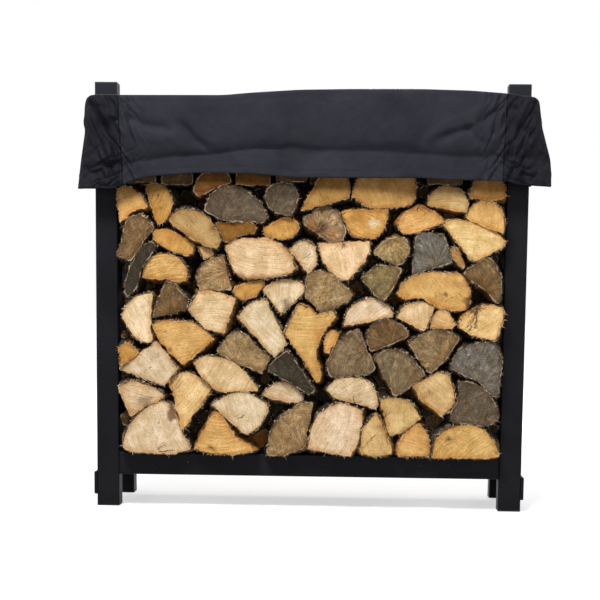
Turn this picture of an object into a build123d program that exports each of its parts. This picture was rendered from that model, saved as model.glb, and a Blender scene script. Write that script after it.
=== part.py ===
from build123d import *
import math
import os

# A log store: two square-tube end frames joined by two rails, a fabric cover over the top,
# and the split firewood that fills it.
# X runs along the front to the right, Y to the back and Z up, in millimetres.
# The origin is on the ground, at the middle of the rack's footprint.

# Rack
rack_width = 1200.0
rack_depth = 355.6
rack_height = 1206.0
end_lean = 20.0
tube = 63.5
tube_wall = 1.5
tube_corner = 5.0
rail_underside = 90.0
lower_bar_underside = 250.0
middle_bar_underside = 620.0
top_bar_drop = 46.0
tie_underside = 33.0
tie_height = 64.0
tie_thickness = 8.0
tie_edge_radius = 3.5

# End caps
cap_plate = 3.0
cap_plug_depth = 12.0
cap_plug_wall = 2.0
cap_clearance = 0.3

# Firewood
log_length = 457.0
log_setback = 14.0
seat_gap = 0.3
column = 0.25
sideways_reach = 26.0
top_courses = 2
top_course_logs = 10
top_log_side_gap = 3.5
top_log_narrowing = 7.0
top_log_taper = 9.0
top_log_bulge = 12.0
thinnest_log = 30.0

# Cover
cloth = 2.0
cloth_gap = 0.3
cover_front_room = 8.0
cover_shoulder = 16.0
cover_shoulder_radius = 12.0
cover_flare = 27.0
cover_crown = 18.0
cover_drop = 260.0
hem_rise = 36.0
hem_curve = 110.0
hem_corner_inset = 37.0
seam_out_at_top = 10.5
seam_in_at_hem = 6.5
post_hole_clearance = 1.0

# How the log ends were read in the photograph, in its pixels at the logs' faces: the bay's width,
# the height from the rails to the cover, the middle of the rail's top edge, and the picture's roll
photo_bay_pixels = 383.2
photo_bay_rise = 359.8
photo_rail_middle = (307.8, 456.5)
photo_roll = 0.0107

half_width = rack_width / 2
half_depth = rack_depth / 2
half_bay = half_width - tube
lean_angle = math.degrees(math.atan2(end_lean, rack_height))
rail_top = rail_underside + tube
top_bar_underside = rack_height - top_bar_drop - tube
bar_tilt = tube / 2 * math.sin(math.radians(lean_angle))
cover_rest = rack_height - top_bar_drop + bar_tilt + cloth_gap
across_pixel = 2 * half_bay / photo_bay_pixels
up_pixel = (cover_rest - rail_top) / photo_bay_rise
FRESH = "fresh"
GREY = "grey"


def fresh(*corners):
    """A log with newly split, pale wood."""
    return FRESH, corners


def grey(*corners):
    """A log with weathered wood."""
    return GREY, corners


# Log ends by course, from the bottom. Corners run clockwise, in pixels of the photograph.
# A third number is how far the bark bulges out between that corner and the next.
COURSES = [
    [
        fresh((121, 447, 9), (160, 401), (172, 405), (182, 433), (191, 451), (172, 455), (133, 453)),
        fresh((192, 450), (203, 430), (211, 415), (218, 411), (236, 438), (256, 451), (240, 455), (214, 455)),
        grey((266, 457, 9), (300, 404), (313, 404), (304, 450), (286, 457)),
        fresh((307, 449), (311, 428, 7), (345, 403), (363, 410), (359, 440), (351, 457)),
        fresh((360, 453), (361, 430), (375, 413), (391, 442), (393, 454), (380, 457), (368, 457)),
        fresh((396, 450, 5), (421, 424), (427, 429), (431, 448), (430, 457), (399, 457)),
        fresh((431, 457), (434, 439, 3), (460, 424, 3), (486, 430), (499, 449), (498, 455), (487, 457)),
    ],
    [
        fresh((116, 384), (128, 377), (150, 383), (162, 392), (160, 396), (141, 405), (128, 415)),
        fresh((169, 382), (175, 374), (190, 372), (205, 380), (213, 389), (183, 432), (176, 405)),
        fresh((211, 404), (224, 396, 5), (258, 397), (270, 405), (262, 425), (248, 436)),
        fresh((262, 395, 4), (285, 381, 4), (304, 400), (300, 402), (280, 401)),
        fresh((324, 390), (330, 382, 2), (352, 378, 3), (372, 386), (378, 398), (376, 411), (331, 397)),
        fresh((379, 399), (396, 397, 2), (414, 406), (422, 418), (405, 433), (390, 436)),
        fresh((412, 385), (437, 372), (449, 374), (456, 398), (453, 407), (441, 417), (417, 397)),
        grey((450, 421), (450, 412), (456, 403), (459, 380), (472, 382, 6), (498, 412), (498, 421), (485, 425)),
    ],
    [
        fresh((114, 343), (123, 339), (135, 350), (116, 364)),
        fresh((114, 369), (152, 340), (175, 368), (162, 386)),
        fresh((148, 325), (158, 320), (190, 321), (213, 338), (181, 366), (157, 344)),
        fresh((193, 362), (202, 356), (215, 357, 4), (247, 374), (259, 391), (218, 393), (199, 376)),
        grey((217, 351), (222, 341), (233, 330), (242, 330), (272, 358), (263, 373), (235, 361)),
        fresh((237, 317), (247, 304), (266, 299), (288, 343), (275, 359)),
        grey((268, 371), (273, 360), (288, 350), (316, 391), (311, 394)),
        fresh((284, 334), (298, 306), (309, 308), (317, 315), (334, 309), (337, 317), (322, 334),
              (316, 352), (322, 379), (318, 384), (297, 351)),
        fresh((322, 348), (325, 334), (332, 328), (339, 333), (334, 345), (327, 355)),
        grey((326, 368), (333, 348), (353, 329), (358, 329), (376, 369), (369, 376), (331, 378)),
        grey((373, 354), (388, 349, 2), (409, 355), (426, 374), (410, 385), (394, 396), (377, 363)),
        grey((408, 343), (422, 334, 2), (441, 331, 2), (460, 339), (444, 361), (430, 376), (417, 357)),
        grey((450, 368), (453, 358, 3), (471, 344), (492, 341), (499, 349), (503, 365), (498, 398),
             (494, 398), (480, 383)),
    ],
    [
        fresh((117, 315), (120, 304), (130, 293), (147, 289), (147, 322), (149, 340), (144, 342), (131, 336)),
        grey((148, 319), (162, 284), (167, 281), (182, 297), (186, 310)),
        fresh((187, 311), (196, 293), (211, 292), (236, 299), (223, 335), (204, 331)),
        fresh((342, 326), (346, 311, 3), (368, 298, 5), (394, 312), (392, 316), (371, 320)),
        fresh((395, 315), (403, 303, 1), (418, 300, 2), (435, 305), (424, 330)),
        fresh((429, 327), (436, 310), (448, 310), (457, 325), (454, 328), (433, 330)),
        fresh((459, 328), (463, 317, 3), (490, 305), (505, 308), (505, 318), (496, 341), (470, 335)),
        grey((369, 351), (367, 336, 4), (387, 318, 4), (411, 336), (372, 352)),
    ],
    [
        grey((307, 273), (315, 270), (330, 271), (343, 284), (353, 294), (350, 300), (320, 312), (304, 296)),
        grey((361, 278), (371, 269), (380, 265), (395, 265), (402, 270), (392, 289), (385, 300), (379, 299)),
        fresh((396, 293), (403, 283), (411, 276), (430, 271), (462, 272), (468, 278), (473, 293),
              (468, 309), (460, 310), (438, 307), (424, 297), (403, 298)),
        grey((465, 272), (478, 261), (489, 255, 2), (499, 268, 1), (504, 286), (501, 303), (486, 288)),
        fresh((232, 292), (239, 285), (262, 279), (266, 283), (259, 294), (247, 302), (238, 300)),
        fresh((263, 289, 2), (284, 279, 3), (306, 287), (304, 294), (281, 314), (270, 300)),
    ],
    [
        grey((112, 257), (113, 252), (117, 246), (119, 233), (124, 217), (139, 215), (152, 229), (140, 242),
             (128, 262)),
        grey((122, 290), (124, 275), (129, 261), (141, 242), (151, 240), (154, 245), (140, 265), (134, 287),
             (125, 297)),
        fresh((140, 278, 8), (164, 253, 6), (188, 275), (185, 282)),
        fresh((152, 231), (155, 227), (165, 227), (181, 233), (195, 244), (194, 252), (188, 254), (170, 250),
              (153, 239)),
        fresh((197, 246), (208, 248), (213, 253), (210, 257), (203, 259)),
        grey((195, 280), (197, 272), (203, 261), (212, 256), (222, 255), (231, 285), (231, 290), (200, 291)),
        fresh((224, 245), (231, 239), (248, 236), (268, 237), (279, 241), (289, 252), (296, 268), (292, 272),
              (268, 277), (243, 278), (233, 271)),
        fresh((288, 247, 3), (303, 238, 3), (316, 247), (317, 262), (308, 271)),
        fresh((320, 243), (371, 240), (373, 248), (367, 260), (350, 280), (340, 279), (323, 260)),
        grey((374, 252), (377, 246), (391, 236), (401, 235), (410, 238), (410, 255), (399, 265)),
        grey((415, 237), (420, 231), (444, 233), (452, 261), (436, 266), (412, 275)),
        fresh((442, 225), (456, 220), (474, 223), (497, 233), (506, 243), (502, 249), (475, 263), (470, 260)),
        grey((450, 250), (456, 246), (466, 267), (463, 270), (452, 260)),
    ],
    [
        fresh((465, 217), (472, 205, 2), (486, 200, 2), (502, 209, 2), (504, 234), (474, 222)),
        fresh((396, 221, 2), (417, 204, 3), (445, 221), (410, 233), (401, 233)),
        fresh((343, 211), (348, 208), (391, 209), (389, 227), (378, 239), (355, 235)),
        grey((302, 222), (306, 215), (320, 206), (328, 204), (340, 212), (346, 230), (344, 242), (330, 242)),
        fresh((262, 229), (272, 222, 2), (286, 216, 2), (300, 223), (300, 229), (289, 239), (268, 237)),
        fresh((214, 224), (252, 223), (257, 230), (254, 235), (240, 236), (224, 245)),
    ],
    [
        fresh((108, 200), (109, 194), (114, 191), (124, 192), (134, 200), (142, 212), (126, 216), (112, 229)),
        fresh((143, 188), (146, 183), (157, 182), (166, 187), (173, 201), (171, 210), (166, 221), (158, 225)),
        fresh((167, 219), (173, 210), (182, 206), (200, 209), (211, 217), (223, 239), (217, 246), (206, 246)),
        grey((204, 212), (209, 198, 4), (232, 186, 4), (262, 208), (268, 218), (265, 224), (222, 222)),
        fresh((192, 190), (196, 180), (202, 172), (228, 172), (232, 181), (216, 187), (198, 196)),
        grey((272, 210), (264, 197), (268, 186), (280, 180), (294, 182), (299, 192), (297, 206), (289, 216)),
        fresh((300, 211), (307, 198), (322, 172), (347, 172), (350, 188), (349, 198)),
        fresh((351, 193), (356, 176), (363, 168), (412, 168), (417, 182), (416, 196), (411, 202), (373, 206)),
        fresh((425, 205), (428, 198, 3), (446, 185, 3), (466, 197), (470, 204), (467, 212)),
        fresh((468, 199), (474, 182), (484, 170), (499, 172), (506, 188), (505, 198), (492, 201)),
    ],
]


def wall_at(height):
    """X of an end frame's inner face at a height."""
    return half_bay + end_lean * height / rack_height


def rounded_square(size, radius):
    """Corner-rounded square, drawn flat around the origin."""
    return RectangleRounded(size, size, radius)


def hole_corner():
    """Corner radius inside the tube."""
    return max(tube_corner - tube_wall, tube_corner / 4)


def tube_section():
    """Cross-section of the square tube."""
    return rounded_square(tube, tube_corner) - rounded_square(tube - 2 * tube_wall, hole_corner())


def end_region(side):
    """Everything outside an end frame's inner face, for cutting pieces to it."""
    plan = Pos(side * (half_bay + rack_width / 2), 0, 0) * Rectangle(rack_width, 4 * rack_depth)
    return Solid.extrude(plan.face(), Vector(side * end_lean, 0, rack_height))


def leaning(section, side, place_y, bottom, top):
    """A post or plug: a flat section carried up along the lean of its end frame."""
    foot_x = side * (half_width - tube / 2 + end_lean * bottom / rack_height)
    rise = top - bottom
    placed = Pos(foot_x, place_y, bottom) * section
    return Solid.extrude(placed.face(), Vector(side * end_lean * rise / rack_height, 0, rise))


def post(side, depth_side):
    """One upright, open at both ends for its caps."""
    place_y = depth_side * (half_depth - tube / 2)
    return leaning(tube_section(), side, place_y, cap_plate, rack_height - cap_plate)


def cap(side, depth_side, at_top):
    """A plastic end cap: a plate over the tube's end and a hollow plug inside it."""
    place_y = depth_side * (half_depth - tube / 2)
    plug_size = tube - 2 * tube_wall - 2 * cap_clearance
    hollow_size = plug_size - 2 * cap_plug_wall
    plug = rounded_square(plug_size, hole_corner()) - Rectangle(hollow_size, hollow_size)
    plate = rounded_square(tube, tube_corner)
    if at_top:
        tube_end = rack_height - cap_plate
        flange = leaning(plate, side, place_y, tube_end, rack_height)
        insert = leaning(plug, side, place_y, tube_end - cap_plug_depth, tube_end)
    else:
        flange = leaning(plate, side, place_y, 0, cap_plate)
        insert = leaning(plug, side, place_y, cap_plate, cap_plate + cap_plug_depth)
    return flange + insert


def rail(depth_side):
    """A long rail, its ends cut to the leaning posts."""
    place_y = depth_side * (half_depth - tube / 2)
    start = Plane(origin=(-half_width, place_y, rail_underside + tube / 2), x_dir=(0, 1, 0), z_dir=(1, 0, 0))
    blank = extrude(start * tube_section(), rack_width)
    return blank - end_region(-1) - end_region(1)


def cross_bar(side, underside):
    """A bar from the front post to the rear post of one end."""
    middle = underside + tube / 2
    centre_x = side * (half_width - tube / 2 + end_lean * middle / rack_height)
    start = Plane(origin=(centre_x, tube - half_depth, middle), x_dir=(1, 0, 0), z_dir=(0, 1, 0))
    section = start * (Rot(0, 0, side * lean_angle) * tube_section())
    return extrude(section, rack_depth - 2 * tube)


def base_tie(side):
    """The flat bar across the outer faces of one end's legs."""
    middle = tie_underside + tie_height / 2
    face_x = half_width + end_lean * middle / rack_height
    start = Plane(origin=(side * face_x, -half_depth, middle), x_dir=(1, 0, 0), z_dir=(0, 1, 0))
    outline = Pos(side * tie_thickness / 2, 0) * Rectangle(tie_thickness, tie_height)
    bar = extrude(start * (Rot(0, 0, side * lean_angle) * outline), rack_depth)
    outer_edges = bar.edges().filter_by(Axis.Y).sort_by(lambda edge: side * edge.center().X)[-2:]
    return fillet(outer_edges, tie_edge_radius)


def from_photo(corner):
    """X, Z and bulge in millimetres of a corner read in the photograph."""
    right = corner[0] - photo_rail_middle[0]
    up = photo_rail_middle[1] - corner[1]
    bulge = corner[2] if len(corner) > 2 else 0
    across = across_pixel * (right - photo_roll * up)
    height = rail_top + up_pixel * (up + photo_roll * right)
    return across, height, min(across_pixel, up_pixel) * bulge


def bulge_point(start, end, share):
    """The point at a share of the bark arc from one corner to the next."""
    chord_x = end[0] - start[0]
    chord_z = end[1] - start[1]
    chord = math.hypot(chord_x, chord_z)
    bulge = start[2]
    radius = (chord * chord / 4 + bulge * bulge) / (2 * bulge)
    half_angle = math.asin(min(1.0, chord / (2 * radius)))
    angle = half_angle * (2 * share - 1)
    along = chord / 2 + radius * math.sin(angle)
    out = radius * math.cos(angle) - radius + bulge
    left_x = -chord_z / chord
    left_z = chord_x / chord
    return start[0] + chord_x / chord * along + left_x * out, start[1] + chord_z / chord * along + left_z * out


def traced(outline):
    """The outline as short straight steps, with the bark arcs divided."""
    steps = []
    arc_steps = 16
    for index, start in enumerate(outline):
        end = outline[(index + 1) % len(outline)]
        steps.append((start[0], start[1]))
        if start[2]:
            steps += [bulge_point(start, end, part / arc_steps) for part in range(1, arc_steps)]
    return steps


def columns_of(outline):
    """Lowest and highest point of an outline in each narrow column that it reaches."""
    steps = traced(outline)
    spans = {}
    for start, end in zip(steps, steps[1:] + steps[:1]):
        left, right = sorted((start, end))
        first = math.floor(left[0] / column)
        last = math.floor(right[0] / column)
        width = max(right[0] - left[0], 1e-9)
        for index in range(first, last + 1):
            from_x = min(max(index * column, left[0]), right[0])
            to_x = min(max((index + 1) * column, left[0]), right[0])
            from_z = left[1] + (right[1] - left[1]) * (from_x - left[0]) / width
            to_z = left[1] + (right[1] - left[1]) * (to_x - left[0]) / width
            low, high = spans.get(index, (math.inf, -math.inf))
            spans[index] = (min(low, from_z, to_z), max(high, from_z, to_z))
    return spans


def lies_under(lower, upper):
    """Whether one log's columns lie mostly below another's where they share any."""
    shared = lower.keys() & upper.keys()
    rise = sum(sum(upper[index]) - sum(lower[index]) for index in shared)
    return rise > 0


def stacking_order(spans):
    """Indices of the logs so that each comes after those that it lies on."""
    left = set(range(len(spans)))
    under = {index: {other for other in left if other != index and lies_under(spans[other], spans[index])}
             for index in left}
    order = []
    while left:
        free = [index for index in left if not under[index] & left] or list(left)
        lowest = min(free, key=lambda index: min(low for low, high in spans[index].values()))
        order.append(lowest)
        left.remove(lowest)
    return order


def cover_line(across):
    """Height of the cover's underside over a place in the bay."""
    return cover_rest + cover_crown * max(0, 1 - (across / half_bay) ** 2)


class Pile:
    """The height of what is stacked so far, column by column between the leaning ends."""

    def __init__(self):
        reach = math.ceil((wall_at(rack_height) + sideways_reach) / column)
        self.heights = {}
        for index in range(-reach, reach + 1):
            outside = max(abs(index), abs(index + 1)) * column - wall_at(rail_top)
            self.heights[index] = rail_top + max(outside, 0) * rack_height / end_lean

    def surface(self, left, right):
        """The highest point so far between two places in X."""
        span = range(math.floor(left / column), math.ceil(right / column) + 1)
        return max(self.heights.get(index, math.inf) for index in span)

    def landing(self, spans, shift):
        """How far a log moves up to rest here, after a sideways shift in columns."""
        return max(self.heights.get(index + shift, math.inf) - low for index, (low, high) in spans.items())

    def place(self, outline):
        """Lowers a log from above, as near its drawn place as it can lie, and gives its outline there."""
        spans = columns_of(outline)
        padded = {}
        for index, (low, high) in spans.items():
            for beside in (index - 1, index, index + 1):
                padded_low, padded_high = padded.get(beside, (math.inf, -math.inf))
                padded[beside] = (min(low, padded_low), max(high, padded_high))
        reach = int(sideways_reach / column)
        landings = {shift: self.landing(padded, shift) for shift in range(-reach, reach + 1, 2)}
        shift = min(landings, key=lambda choice: math.hypot(landings[choice], choice * column))
        lift = landings[shift] + seat_gap
        resting = [(x + shift * column, z + lift, bulge) for x, z, bulge in outline]
        if any(z > cover_line(x) - cloth_gap for x, z in traced(resting)):
            return None
        for index, (low, high) in spans.items():
            self.heights[index + shift] = max(self.heights[index + shift], high + lift)
        return resting


def top_log(across, width, bottom, height):
    """A split block with its bark up, as the highest courses have."""
    bulge = min(top_log_bulge, height / 3)
    shoulder = bottom + height - bulge
    return [
        (across - width / 2, bottom, 0),
        (across - width / 2 + top_log_taper, shoulder, bulge),
        (across + width / 2 - top_log_taper, shoulder, 0),
        (across + width / 2, bottom, 0),
    ]


def top_course(pile, number):
    """Logs side by side under the cover, each as high as the room left for it."""
    pitch = 2 * half_bay / top_course_logs
    placed = []
    for index in range(top_course_logs):
        across = pitch * (index + 0.5) - half_bay
        narrower = 1 + math.sin(2.0 * index + 3.0 * number)
        width = pitch - top_log_side_gap - top_log_narrowing * narrower
        bottom = pile.surface(across - width / 2, across + width / 2)
        room = cover_line(across) - cloth_gap - 2 * seat_gap - bottom
        height = room / (top_courses - number)
        if height < thinnest_log:
            continue
        tone = GREY if (index + 2 * number) % 5 == 0 else FRESH
        placed.append((len(COURSES) + 1 + number, tone, pile.place(top_log(across, width, bottom, height))))
    return placed


def firewood():
    """Every log's resting outline, with its course and tone."""
    drawn = []
    for course, logs in enumerate(COURSES, start=1):
        for tone, corners in logs:
            drawn.append((course, tone, [from_photo(corner) for corner in corners]))
    pile = Pile()
    stacked = []
    for index in stacking_order([columns_of(outline) for course, tone, outline in drawn]):
        course, tone, outline = drawn[index]
        stacked.append((course, tone, pile.place(outline)))
    for number in range(top_courses):
        stacked += top_course(pile, number)
    return [(course, tone, outline) for course, tone, outline in stacked if outline]


def log_solid(outline, number):
    """One log, sawn square at both ends, pushed in by a little more or less."""
    front = log_setback * (0.5 + 0.5 * math.sin(5.0 * number)) - log_length / 2
    back = log_length / 2 - log_setback * (0.5 + 0.5 * math.sin(3.0 * number + 1.0))
    edges = []
    for index, start in enumerate(outline):
        end = outline[(index + 1) % len(outline)]
        first = Vector(start[0], front, start[1])
        last = Vector(end[0], front, end[1])
        if start[2]:
            middle_x, middle_z = bulge_point(start, end, 0.5)
            edges.append(Edge.make_three_point_arc(first, Vector(middle_x, front, middle_z), last))
        else:
            edges.append(Edge.make_line(first, last))
    return Solid.extrude(Face(Wire(edges)), Vector(0, back - front, 0))


def cover_outline(inset):
    """Front view of the cover's outer skin, or of its lining when inset by the cloth."""
    top = cover_rest + cloth - inset
    shoulder = wall_at(cover_rest) + tube + cover_shoulder - inset
    hem = cover_rest - cover_drop
    foot = shoulder + cover_flare
    radius = cover_shoulder_radius
    corner = radius * (1 - math.sqrt(0.5))
    left_foot = Vector(-foot, 0, hem)
    left_side = Vector(-shoulder, 0, top - radius)
    left_bend = Vector(-shoulder + corner, 0, top - corner)
    left_top = Vector(-shoulder + radius, 0, top)
    right_top = Vector(shoulder - radius, 0, top)
    right_bend = Vector(shoulder - corner, 0, top - corner)
    right_side = Vector(shoulder, 0, top - radius)
    right_foot = Vector(foot, 0, hem)
    ridge_start = Vector(-half_bay, 0, top)
    ridge = Vector(0, 0, top + cover_crown)
    ridge_end = Vector(half_bay, 0, top)
    return Face(Wire([
        Edge.make_line(left_foot, left_side),
        Edge.make_three_point_arc(left_side, left_bend, left_top),
        Edge.make_line(left_top, ridge_start),
        Edge.make_three_point_arc(ridge_start, ridge, ridge_end),
        Edge.make_line(ridge_end, right_top),
        Edge.make_three_point_arc(right_top, right_bend, right_side),
        Edge.make_line(right_side, right_foot),
        Edge.make_line(right_foot, left_foot),
    ]))


def along_y(face, start, length):
    """A face drawn in the front view, carried back from one place in Y."""
    return Solid.extrude(face.moved(Pos(0, start, 0)), Vector(0, length, 0))


def hem_cut():
    """What is cut away under the front and rear panels, where the hem curves up."""
    hem = cover_rest - cover_drop
    below = hem - hem_rise
    corner = half_bay - hem_corner_inset
    shoulder = corner - hem_curve
    return Face(Wire([
        Edge.make_line(Vector(-corner, 0, below), Vector(-corner, 0, hem)),
        Edge.make_three_point_arc(Vector(-corner, 0, hem),
                                  Vector(-corner + hem_curve * 0.42, 0, hem + hem_rise * 0.62),
                                  Vector(-shoulder, 0, hem + hem_rise * 0.9)),
        Edge.make_three_point_arc(Vector(-shoulder, 0, hem + hem_rise * 0.9),
                                  Vector(0, 0, hem + hem_rise),
                                  Vector(shoulder, 0, hem + hem_rise * 0.9)),
        Edge.make_three_point_arc(Vector(shoulder, 0, hem + hem_rise * 0.9),
                                  Vector(corner - hem_curve * 0.42, 0, hem + hem_rise * 0.62),
                                  Vector(corner, 0, hem)),
        Edge.make_line(Vector(corner, 0, hem), Vector(corner, 0, below)),
        Edge.make_line(Vector(corner, 0, below), Vector(-corner, 0, below)),
    ]))


def cover_panels():
    """The sewn panels of the cover, by name."""
    wall_y = log_length / 2 + cover_front_room
    outer = cover_outline(0)
    lining = cover_outline(cloth)
    below = cover_rest - cover_drop - hem_rise
    above = cover_rest + cover_crown + cloth
    seam_top = half_bay + seam_out_at_top
    seam_bottom = half_bay - seam_in_at_hem
    seams = Polyline((-seam_top, 0, above), (seam_top, 0, above), (seam_bottom, 0, below),
                     (-seam_bottom, 0, below), close=True)
    between_seams = Face(Wire(seams.edges()))
    front_skin = along_y(outer, -wall_y - cloth, cloth) - along_y(hem_cut(), -wall_y - 2 * cloth, 3 * cloth)
    rear_skin = along_y(outer, wall_y, cloth) - along_y(hem_cut(), wall_y - cloth, 3 * cloth)
    middle = along_y(between_seams, -2 * wall_y, 4 * wall_y)
    skin = along_y(outer, -wall_y, 2 * wall_y) - along_y(lining, -wall_y, 2 * wall_y)
    shoulder_line = cover_rest + cloth - cover_shoulder_radius
    top_zone = Pos(0, 0, shoulder_line + cover_drop) * Box(2 * rack_width, 4 * wall_y, 2 * cover_drop)
    top = skin & top_zone
    for side in (-1, 1):
        for depth_side in (-1, 1):
            place_y = depth_side * (half_depth - tube / 2)
            hole = rounded_square(tube + 2 * post_hole_clearance, tube_corner)
            top -= leaning(hole, side, place_y, shoulder_line, rack_height + tube)
    panels = {
        "cover_top_panel": top,
        "cover_front_panel": front_skin & middle,
        "cover_rear_panel": rear_skin & middle,
    }
    ends = (skin - top_zone) + (front_skin - middle) + (rear_skin - middle)
    for name, side in (("cover_left_end", -1), ("cover_right_end", 1)):
        half_space = Pos(side * rack_width, 0, cover_rest) * Box(2 * rack_width, 4 * wall_y, 4 * cover_drop)
        panels[name] = ends & half_space
    return panels


def write(name, solids):
    """One STEP file for one named piece."""
    body = solids[0] if len(solids) == 1 else Compound(children=solids)
    export_step(body, f"parts/{name}.step")


def main():
    os.makedirs("parts", exist_ok=True)
    sides = (("left", -1), ("right", 1))
    depths = (("front", -1), ("rear", 1))
    for side_name, side in sides:
        for depth_name, depth_side in depths:
            write(f"{depth_name}_{side_name}_post", [post(side, depth_side)])
        write(f"{side_name}_top_bar", [cross_bar(side, top_bar_underside)])
        write(f"{side_name}_middle_bar", [cross_bar(side, middle_bar_underside)])
        write(f"{side_name}_lower_bar", [cross_bar(side, lower_bar_underside)])
        write(f"{side_name}_base_tie", [base_tie(side)])
    for depth_name, depth_side in depths:
        write(f"{depth_name}_bottom_rail", [rail(depth_side)])
    corners = [(side, depth_side) for side_name, side in sides for depth_name, depth_side in depths]
    write("post_top_caps", [cap(side, depth_side, True) for side, depth_side in corners])
    write("post_foot_caps", [cap(side, depth_side, False) for side, depth_side in corners])
    stacked = firewood()
    groups = {}
    for number, (course, tone, outline) in enumerate(stacked):
        groups.setdefault(f"course_{course}_{tone}_logs", []).append(log_solid(outline, number))
    for name, solids in groups.items():
        write(name, solids)
    for name, panel in cover_panels().items():
        write(name, [panel])


main()
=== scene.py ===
import math

import bmesh
import bpy
import numpy as np
from mathutils import Matrix, Vector, geometry


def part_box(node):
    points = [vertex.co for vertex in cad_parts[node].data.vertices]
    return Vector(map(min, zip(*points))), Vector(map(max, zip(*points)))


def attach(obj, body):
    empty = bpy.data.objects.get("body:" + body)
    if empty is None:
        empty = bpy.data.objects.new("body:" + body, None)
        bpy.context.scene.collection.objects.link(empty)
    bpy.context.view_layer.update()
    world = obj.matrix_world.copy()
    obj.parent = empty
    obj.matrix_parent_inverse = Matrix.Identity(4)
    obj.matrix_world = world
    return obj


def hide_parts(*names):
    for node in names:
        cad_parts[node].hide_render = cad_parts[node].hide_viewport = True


# The looks of a log store: black steel end frames and rails, split firewood and a draped cover.
# X runs along the front to the right, Y to the back and Z up, in metres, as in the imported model.
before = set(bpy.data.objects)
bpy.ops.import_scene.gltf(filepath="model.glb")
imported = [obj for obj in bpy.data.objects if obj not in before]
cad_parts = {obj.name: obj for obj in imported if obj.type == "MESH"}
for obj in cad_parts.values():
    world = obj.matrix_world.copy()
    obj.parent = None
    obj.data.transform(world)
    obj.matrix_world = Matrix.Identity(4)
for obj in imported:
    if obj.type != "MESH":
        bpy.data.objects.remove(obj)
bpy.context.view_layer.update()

SCENE = bpy.context.scene


# Small helpers.

def smooth_step(value, low, high):
    """0 below low, 1 above high, and a smooth rise between."""
    share = np.clip((value - low) / (high - low), 0, 1)
    return share * share * (3 - 2 * share)


def lattice_value(cell, seed):
    """A fixed value from -1 to 1 for each lattice cell."""
    mixed = cell[:, 0] * 73856093 ^ cell[:, 1] * 19349663 ^ cell[:, 2] * 83492791 ^ (seed + 7) * 2654435761
    mixed = (mixed ^ (mixed >> 15)) * 2246822519 & 0xFFFFFFFF
    mixed = (mixed ^ (mixed >> 13)) * 3266489917 & 0xFFFFFFFF
    return (mixed ^ (mixed >> 16) & 0xFFFFFFFF) / 2147483647.5 - 1


def soft_noise(points, seed=0):
    """Smooth noise from -1 to 1 at rows of X, Y and Z, with features about one unit wide."""
    cell = np.floor(points).astype(np.int64)
    share = points - cell
    share = share * share * (3 - 2 * share)
    total = np.zeros(len(points))
    for corner in range(8):
        step = np.array([corner & 1, corner >> 1 & 1, corner >> 2 & 1])
        weight = np.prod(np.where(step, share, 1 - share), axis=1)
        total += weight * lattice_value(cell + step, seed)
    return total


def new_piece(name, vertices, faces, materials):
    """A mesh object at the origin, with its materials."""
    mesh = bpy.data.meshes.new(name)
    mesh.from_pydata(vertices, [], faces)
    for material in materials:
        mesh.materials.append(material)
    piece = bpy.data.objects.new(name, mesh)
    SCENE.collection.objects.link(piece)
    return piece


def note(mesh, name, values, kind="FLOAT", domain="POINT"):
    """Stores a number, a vector or a colour for each point of a mesh, or a flag for each edge."""
    field = {"FLOAT_VECTOR": "vector", "FLOAT_COLOR": "color"}.get(kind, "value")
    if kind != "BOOLEAN":
        values = np.asarray(values).astype(np.float32).ravel()
    mesh.attributes.new(name, kind, domain).data.foreach_set(field, values)


# Nodes for materials and for grown pieces.

class Wire:
    """A node or one of its outputs, which can be added, multiplied and so on like a number."""

    def __init__(self, nodes, source):
        self.nodes = nodes
        self.source = source

    def __add__(self, other):
        return self.nodes.math("ADD", self, other)

    def __sub__(self, other):
        return self.nodes.math("SUBTRACT", self, other)

    def __rsub__(self, other):
        return self.nodes.math("SUBTRACT", other, self)

    def __mul__(self, other):
        return self.nodes.math("MULTIPLY", self, other)

    def __truediv__(self, other):
        return self.nodes.math("DIVIDE", self, other)

    def __abs__(self):
        return self.nodes.math("ABSOLUTE", self)

    __radd__ = __add__


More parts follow.
